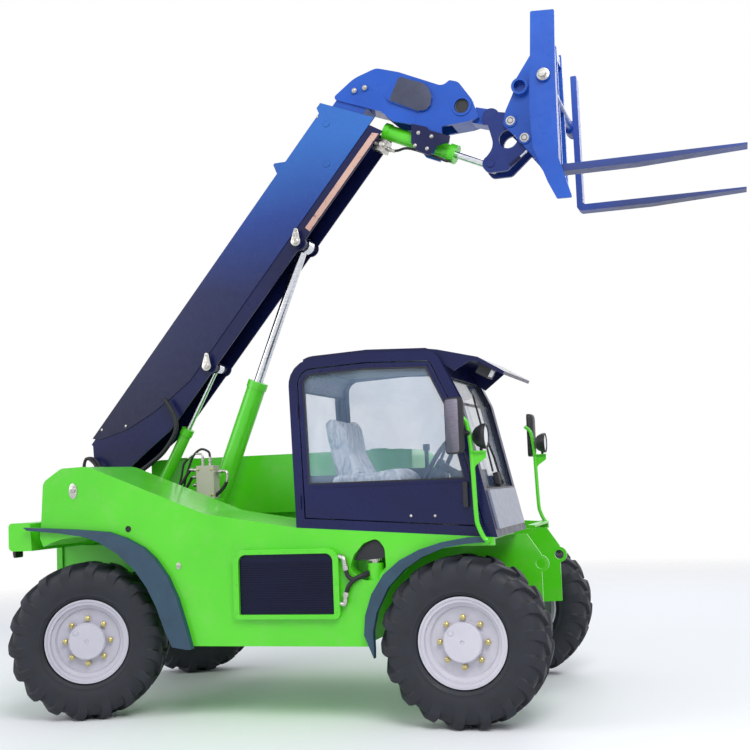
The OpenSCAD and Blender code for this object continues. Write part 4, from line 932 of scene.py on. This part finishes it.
# round tubes guard the windscreen's sides and carry the mirrors and lamps
rails = {"radius": 13.0, "footRadius": 10, "aside": 1000.0, "body": 925, "shelfFoot": 1532, "thick": 8,
         "bends": [(1266, 1745), (1296, 1718), (1313, 1680), (1328, 1560), (1333, 1420),
                   (1341, 1180), (1352, 1120), (1376, 1065), (1397, 1044)],
         "plate": [(1322, 1440), (1340, 1436), (1352, 1462), (1412, 1500),
                   (1412, 1540), (1326, 1540), (1318, 1500)],
         "shelf": [(1326, -20), (1412, -20), (1412, 20), (1326, 20)]}
bm = bmesh.new()
for side in (-1, 1):
    y, body = side * rails["aside"], side * rails["body"]
    addHose(bm, [(x, y, z) for x, z in rails["bends"]], rails["radius"], 20)
    addSweep(bm, [at(1394, y, 1040), at(1394, body, 1040)], rails["footRadius"])
    if side < 0:  # the right rail is also tied to the cab at its top
        addSweep(bm, [at(1268, y, 1743), at(1264, side * 960, 1749), at(1262, body, 1751)],
                 rails["footRadius"])
    addPlate(bm, rails["plate"], lambda p, h: at(p[0], y - 4 + h, p[1]), 0, rails["thick"], 1.5)
    addPlate(bm, rails["shelf"],
             lambda p, h: at(p[0], y + p[1], rails["shelfFoot"] + h), 0, rails["thick"], 1.5)
tubes = addPiece("mirrorRailTubes", bm, "chassis", "limeEnamel")
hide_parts("mirror_rails")

# fluted lenses and bezels of the head lamps, and the lens of the lamp under the roof's peak
lampSet = {"face": 1408.0, "aside": 985, "height": 1620.0,
           "lens": [(0, 62), (3, 62), (6, 52), (7.6, 30), (8, 0)],
           "bezel": [(-6, 66), (-6, 71), (6, 71), (8.5, 69), (8.5, 64), (0, 61)],
           "flutes": 9, "flutePitch": 13,
           "peak": (1356, -840, 2051.98), "peakTilt": math.atan2(86, 150), "peakLens": (118, 40, 8)}


# a point in the axes of the roof's peak, which slopes down ahead
def onPeak(x, y, z):
    startX, startY, startZ = lampSet["peak"]
    c, s = math.cos(lampSet["peakTilt"]), math.sin(lampSet["peakTilt"])
    return at(startX + x * c + z * s, startY + y, startZ - x * s + z * c)


lenses, bezels = bmesh.new(), bmesh.new()
face, height = lampSet["face"], lampSet["height"]
for side in (-1, 1):
    aside = side * lampSet["aside"]
    addTurned(lenses, at(face - 1, aside, height), (1, 0, 0), lampSet["lens"], 40)
    addTurned(bezels, at(face, aside, height), (1, 0, 0), lampSet["bezel"], 48, hollow=True)
    for k in range(lampSet["flutes"]):
        z = (k - lampSet["flutes"] // 2) * lampSet["flutePitch"]
        half = 0.9 * math.sqrt(60 ** 2 - z ** 2)
        addSweep(bezels, [at(face + 4.5, aside + end * half, height + z) for end in (-1, 1)], 1.4, 6)
addPlate(lenses, roundedOutline(*lampSet["peakLens"]),
         lambda p, h: onPeak(79 + h, 70 + p[0], p[1] - 31), 0, 7, 2.5)
addPiece("lampLenses", lenses, "chassis", "lampLens")
addPiece("lampBezels", bezels, "chassis", "blackPlastic")
print("stage: cab, mirrors and lamps")

# the door: a thin frame with rounded edges round a large pane, and a swaged panel below the waist
door = {"frame": 33.0, "paneFoot": 1392.0, "outer": -930.5, "thickness": 37.0, "round": 3.5, "paneLap": 7.0,
        "paneMiddle": -911.0, "paneThick": 5.0, "paneRound": 0.6,
        "sealFace": -929.5, "sealWidth": 9, "sealHeight": 3.5,
        "hinge": (272.0, -936.0), "hingeFeet": (1250.0, 1780.0),
        "knuckle": [(0, 3.5), (1.5, 5), (78.5, 5), (80, 3.5)],
        "swage": [(360, 1368), (1236, 1368), (1240, 1374), (356, 1374)], "swageFace": -929}


# an upright plate with rounded edges, its outlines in metres and the rest in millimetres
def flatPlate(name, outlines, thickness, rounding, middle):
    curve = bpy.data.curves.new(name, "CURVE")
    curve.dimensions = "2D"
    curve.fill_mode = "BOTH"
    curve.extrude = thickness / 2000 - rounding / 1000
    curve.bevel_depth = rounding / 1000
    curve.bevel_resolution = 2
    curve.offset = -rounding / 1000
    for outline in outlines:
        spline = curve.splines.new("POLY")
        spline.points.add(len(outline) - 1)
        for point, (x, z) in zip(spline.points, outline):
            point.co = (x, z, 0, 1)
        spline.use_cyclic_u = True
    carrier = addObject(name, curve)
    bm = bmesh.new()
    bm.from_mesh(evaluatedMesh(carrier))
    bpy.data.objects.remove(carrier)
    for vert in bm.verts:
        vert.co = Vector((vert.co.x, middle / 1000 - vert.co.z, vert.co.y))
    return bm


def insetOutline(outline, distance):
    count = len(outline)
    area = sum(outline[i - 1][0] * outline[i][1] - outline[i][0] * outline[i - 1][1] for i in range(count))
    way = math.copysign(1, area)
    moved = []
    for i, here in enumerate(outline):
        first = (Vector(here) - Vector(outline[i - 1])).normalized()
        second = (Vector(outline[(i + 1) % count]) - Vector(here)).normalized()
        inward = Vector((-first.y - second.y, first.x + second.x)).normalized() * way
        share = inward.dot(Vector((-first.y, first.x)) * way)
        moved.append(Vector(here) + inward * distance / max(0.5, share))
    return moved


# the window is the door's own outline, moved in by the frame's width and cut off at the pane's foot
loop = max(faceLoops("cab_door", toRight, 1.0), key=loopLength)
outerEdge = [(p.x, p.z) for i, p in enumerate(loop) if (p - loop[i - 1]).length > 0.003]
foot = door["paneFoot"] / 1000
window = []
inner = insetOutline(outerEdge, door["frame"] / 1000)
for here, after in zip(inner, inner[1:] + inner[:1]):
    if here.y >= foot:
        window.append(here)
    if (here.y - foot) * (after.y - foot) < 0:
        window.append(here + (after - here) * ((foot - here.y) / (after.y - here.y)))
bm = flatPlate("doorPanel", [outerEdge, window], door["thickness"], door["round"],
               door["outer"] + door["thickness"] / 2)
for z in door["hingeFeet"]:
    addTurned(bm, at(*door["hinge"], z), (0, 0, 1), door["knuckle"], 16)
addPlate(bm, door["swage"], lambda p, h: at(p[0], door["swageFace"] - h, p[1]), 0, 5, 1.5)
panel = addPiece("doorPanel", bm, "door", "navyEnamel")
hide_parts("cab_door")
lapped = insetOutline([tuple(p) for p in window], -door["paneLap"] / 1000)
bm = flatPlate("doorPane", [lapped], door["paneThick"], door["paneRound"], door["paneMiddle"])
pane = addPiece("doorPane", bm, "door", "glazing")
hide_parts("door_glass")
bm = bmesh.new()
addSeal(bm, [Vector((p.x, door["sealFace"] / 1000, p.y)) for p in window], toRight, door["sealWidth"],
        door["sealHeight"])
addPiece("doorGlassSeal", bm, "door", "blackRubber", 50.0)

# the driver's seat: a foam cushion and back in a loose pale dust cover, blown up a little by cloth simulation
seat = {"start": 0.965, "voxel": 0.0075, "pressure": 4.0, "frames": 20, "cap": 0.024, "inside": 0.001,
        "soften": 1, "fill": 0.7}


# the separate shells of a mesh, each as the list of its corners
def shellsOf(bm):
    seen, shells = set(), []
    for vert in bm.verts:
        if vert in seen:
            continue
        stack, shell = [vert], []
        seen.add(vert)
        while stack:
            here = stack.pop()
            shell.append(here)
            beside = [edge.other_vert(here) for edge in here.link_edges]
            fresh = [vert for vert in beside if vert not in seen]
            seen.update(fresh)
            stack += fresh
        shells.append(shell)
    return shells


source = nodes["seat_cushions"]
bm = bmesh.new()
bm.from_mesh(source.data)
bm.transform(source.matrix_world)
bmesh.ops.remove_doubles(bm, verts=bm.verts, dist=1e-5)
for shell in shellsOf(bm):
    centre = sum((vert.co for vert in shell), Vector()) / len(shell)
    for vert in shell:
        vert.co = centre + (vert.co - centre) * seat["start"]
mesh = bpy.data.meshes.new("driverSeat")
bm.to_mesh(mesh)
bm.free()
cushions = addObject("driverSeat", mesh)
remesh = cushions.modifiers.new("remesh", "REMESH")
remesh.mode = "VOXEL"
remesh.voxel_size = seat["voxel"]
cushions.data = evaluatedMesh(cushions)
cushions.modifiers.clear()
still = [vert.co.copy() for vert in cushions.data.vertices]
cloth = cushions.modifiers.new("cloth", "CLOTH")
cloth.settings.use_pressure = True
cloth.settings.uniform_pressure_force = seat["pressure"]
cloth.settings.effector_weights.gravity = 0
cloth.point_cache.frame_start = 1
cloth.point_cache.frame_end = seat["frames"]
for frameNumber in range(1, seat["frames"] + 1):
    scene.frame_set(frameNumber)
blown = cushions.evaluated_get(bpy.context.evaluated_depsgraph_get()).data
moves = [blown.vertices[i].co - start for i, start in enumerate(still)]
cushions.modifiers.clear()
low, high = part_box("seat_cushions")
for vert, start, move in zip(cushions.data.vertices, still, moves):
    spot = start + move * min(1.0, seat["cap"] / max(move.length, 1e-9))
    vert.co = [min(max(spot[k], low[k] + seat["inside"]), high[k] - seat["inside"]) for k in range(3)]
scene.frame_set(1)
smooth = cushions.modifiers.new("soften", "SUBSURF")
smooth.levels = seat["soften"]
smooth.render_levels = seat["soften"]
cushions.data = evaluatedMesh(cushions)
cushions.modifiers.clear()
cushions.data.materials.clear()
cushions.data.materials.append(paints["seatCover"])
cushions.data.shade_smooth()
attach(cushions, "chassis")
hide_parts("seat_cushions")
print("stage: driver's seat")

# a pale floor that fades out at its edge
studio = {"floor": 30.0, "floorColour": "#F4F5F7", "fade": 0.09, "keyPower": 520.0, "fillPower": 190.0,
          "skyColour": "#EEF3FB", "skyLight": 0.62}
floorMesh = bpy.data.meshes.new("floor")
half = studio["floor"] / 2
floorMesh.from_pydata([(-half, -half, 0), (half, -half, 0), (half, half, 0), (-half, half, 0)], [],
                      [(0, 1, 2, 3)])
floor = addObject("floor", floorMesh)
tree, shader, coords = newMaterial("paleFloor")
setInputs(shader, {"Base Color": linear(studio["floorColour"]), "Roughness": 0.7})
spread = addNode(tree, "ShaderNodeMapping", {"Scale": (studio["fade"],) * 3}, {"Vector": (coords, "Object")})
fade = addNode(tree, "ShaderNodeTexGradient", {"gradient_type": "SPHERICAL"}, {"Vector": (spread, "Vector")})
edge = addNode(tree, "ShaderNodeValToRGB", {"stops": [(0.0, grey(0.0)), (0.45, grey(1.0))]},
               {"Fac": (fade, "Fac")})
clear = addNode(tree, "ShaderNodeBsdfTransparent")
join = addNode(tree, "ShaderNodeMixShader",
               links={0: (edge, "Color"), 1: (clear, "BSDF"), 2: (shader, "BSDF")})
tree.links.new(join.outputs[0], tree.nodes["Material Output"].inputs["Surface"])
floorMesh.materials.append(paints["paleFloor"])

# a soft sky lights the machine; what is seen past it, through glass or mirrored is plain white
world = bpy.data.worlds.new("studio")
scene.world = world
world.use_nodes = True
tree = world.node_tree
tree.nodes.clear()
rays = addNode(tree, "ShaderNodeLightPath")
sky = addNode(tree, "ShaderNodeBackground",
              {"Color": linear(studio["skyColour"]), "Strength": studio["skyLight"]})
white = addNode(tree, "ShaderNodeBackground", {"Color": grey(1.0), "Strength": 1.0})
seen = addNode(tree, "ShaderNodeMath", {"operation": "MAXIMUM"},
               {0: (rays, "Is Camera Ray"), 1: (rays, "Is Transmission Ray")})
plain = addNode(tree, "ShaderNodeMath", {"operation": "MAXIMUM"}, {0: (seen, 0), 1: (rays, "Is Glossy Ray")})
choose = addNode(tree, "ShaderNodeMixShader",
                 links={0: (plain, 0), 1: (sky, "Background"), 2: (white, "Background")})
addNode(tree, "ShaderNodeOutputWorld", links={"Surface": (choose, "Shader")})


def softLamp(name, place, size, power):
    light = bpy.data.lights.new(name, "AREA")
    light.shape = "DISK"
    light.size = size
    light.energy = power
    lamp = addObject(name, light)
    lamp.location = place
    lamp.rotation_euler = (Vector((0, 0, 1.5)) - Vector(place)).to_track_quat("-Z", "Y").to_euler()


softLamp("keyLamp", (3.5, -6.5, 7.5), 5.0, studio["keyPower"])
softLamp("fillLamp", (-7.0, -5.0, 5.0), 6.0, studio["fillPower"])
softLamp("backLamp", (1.0, 7.0, 6.5), 6.0, studio["fillPower"])

# the eye stands level with the cab floor and looks a little up at the raised boom
viewer = {"place": (2761.5, -7100.2, 1402.4), "yaw": 0.2874, "pitch": 0.0788, "roll": -0.0405,
          "lens": 53.9, "shiftX": -0.0399, "shiftY": 0.0197}
ahead = Vector((-math.sin(viewer["yaw"]) * math.cos(viewer["pitch"]),
                math.cos(viewer["yaw"]) * math.cos(viewer["pitch"]), math.sin(viewer["pitch"])))
level = Vector((math.cos(viewer["yaw"]), math.sin(viewer["yaw"]), 0))
upward = level.cross(ahead)
across = math.cos(viewer["roll"]) * level + math.sin(viewer["roll"]) * upward
upright = math.cos(viewer["roll"]) * upward - math.sin(viewer["roll"]) * level
lens = bpy.data.cameras.new("camera")
lens.lens = viewer["lens"]
lens.sensor_width = 36.0
lens.shift_x = viewer["shiftX"]
lens.shift_y = viewer["shiftY"]
camera = addObject("camera", lens)
turn = Matrix((across, upright, -ahead)).transposed().to_4x4()
camera.matrix_world = Matrix.Translation(at(*viewer["place"])) @ turn
scene.camera = camera
scene.view_settings.view_transform = "Standard"
print("stage: studio ready")
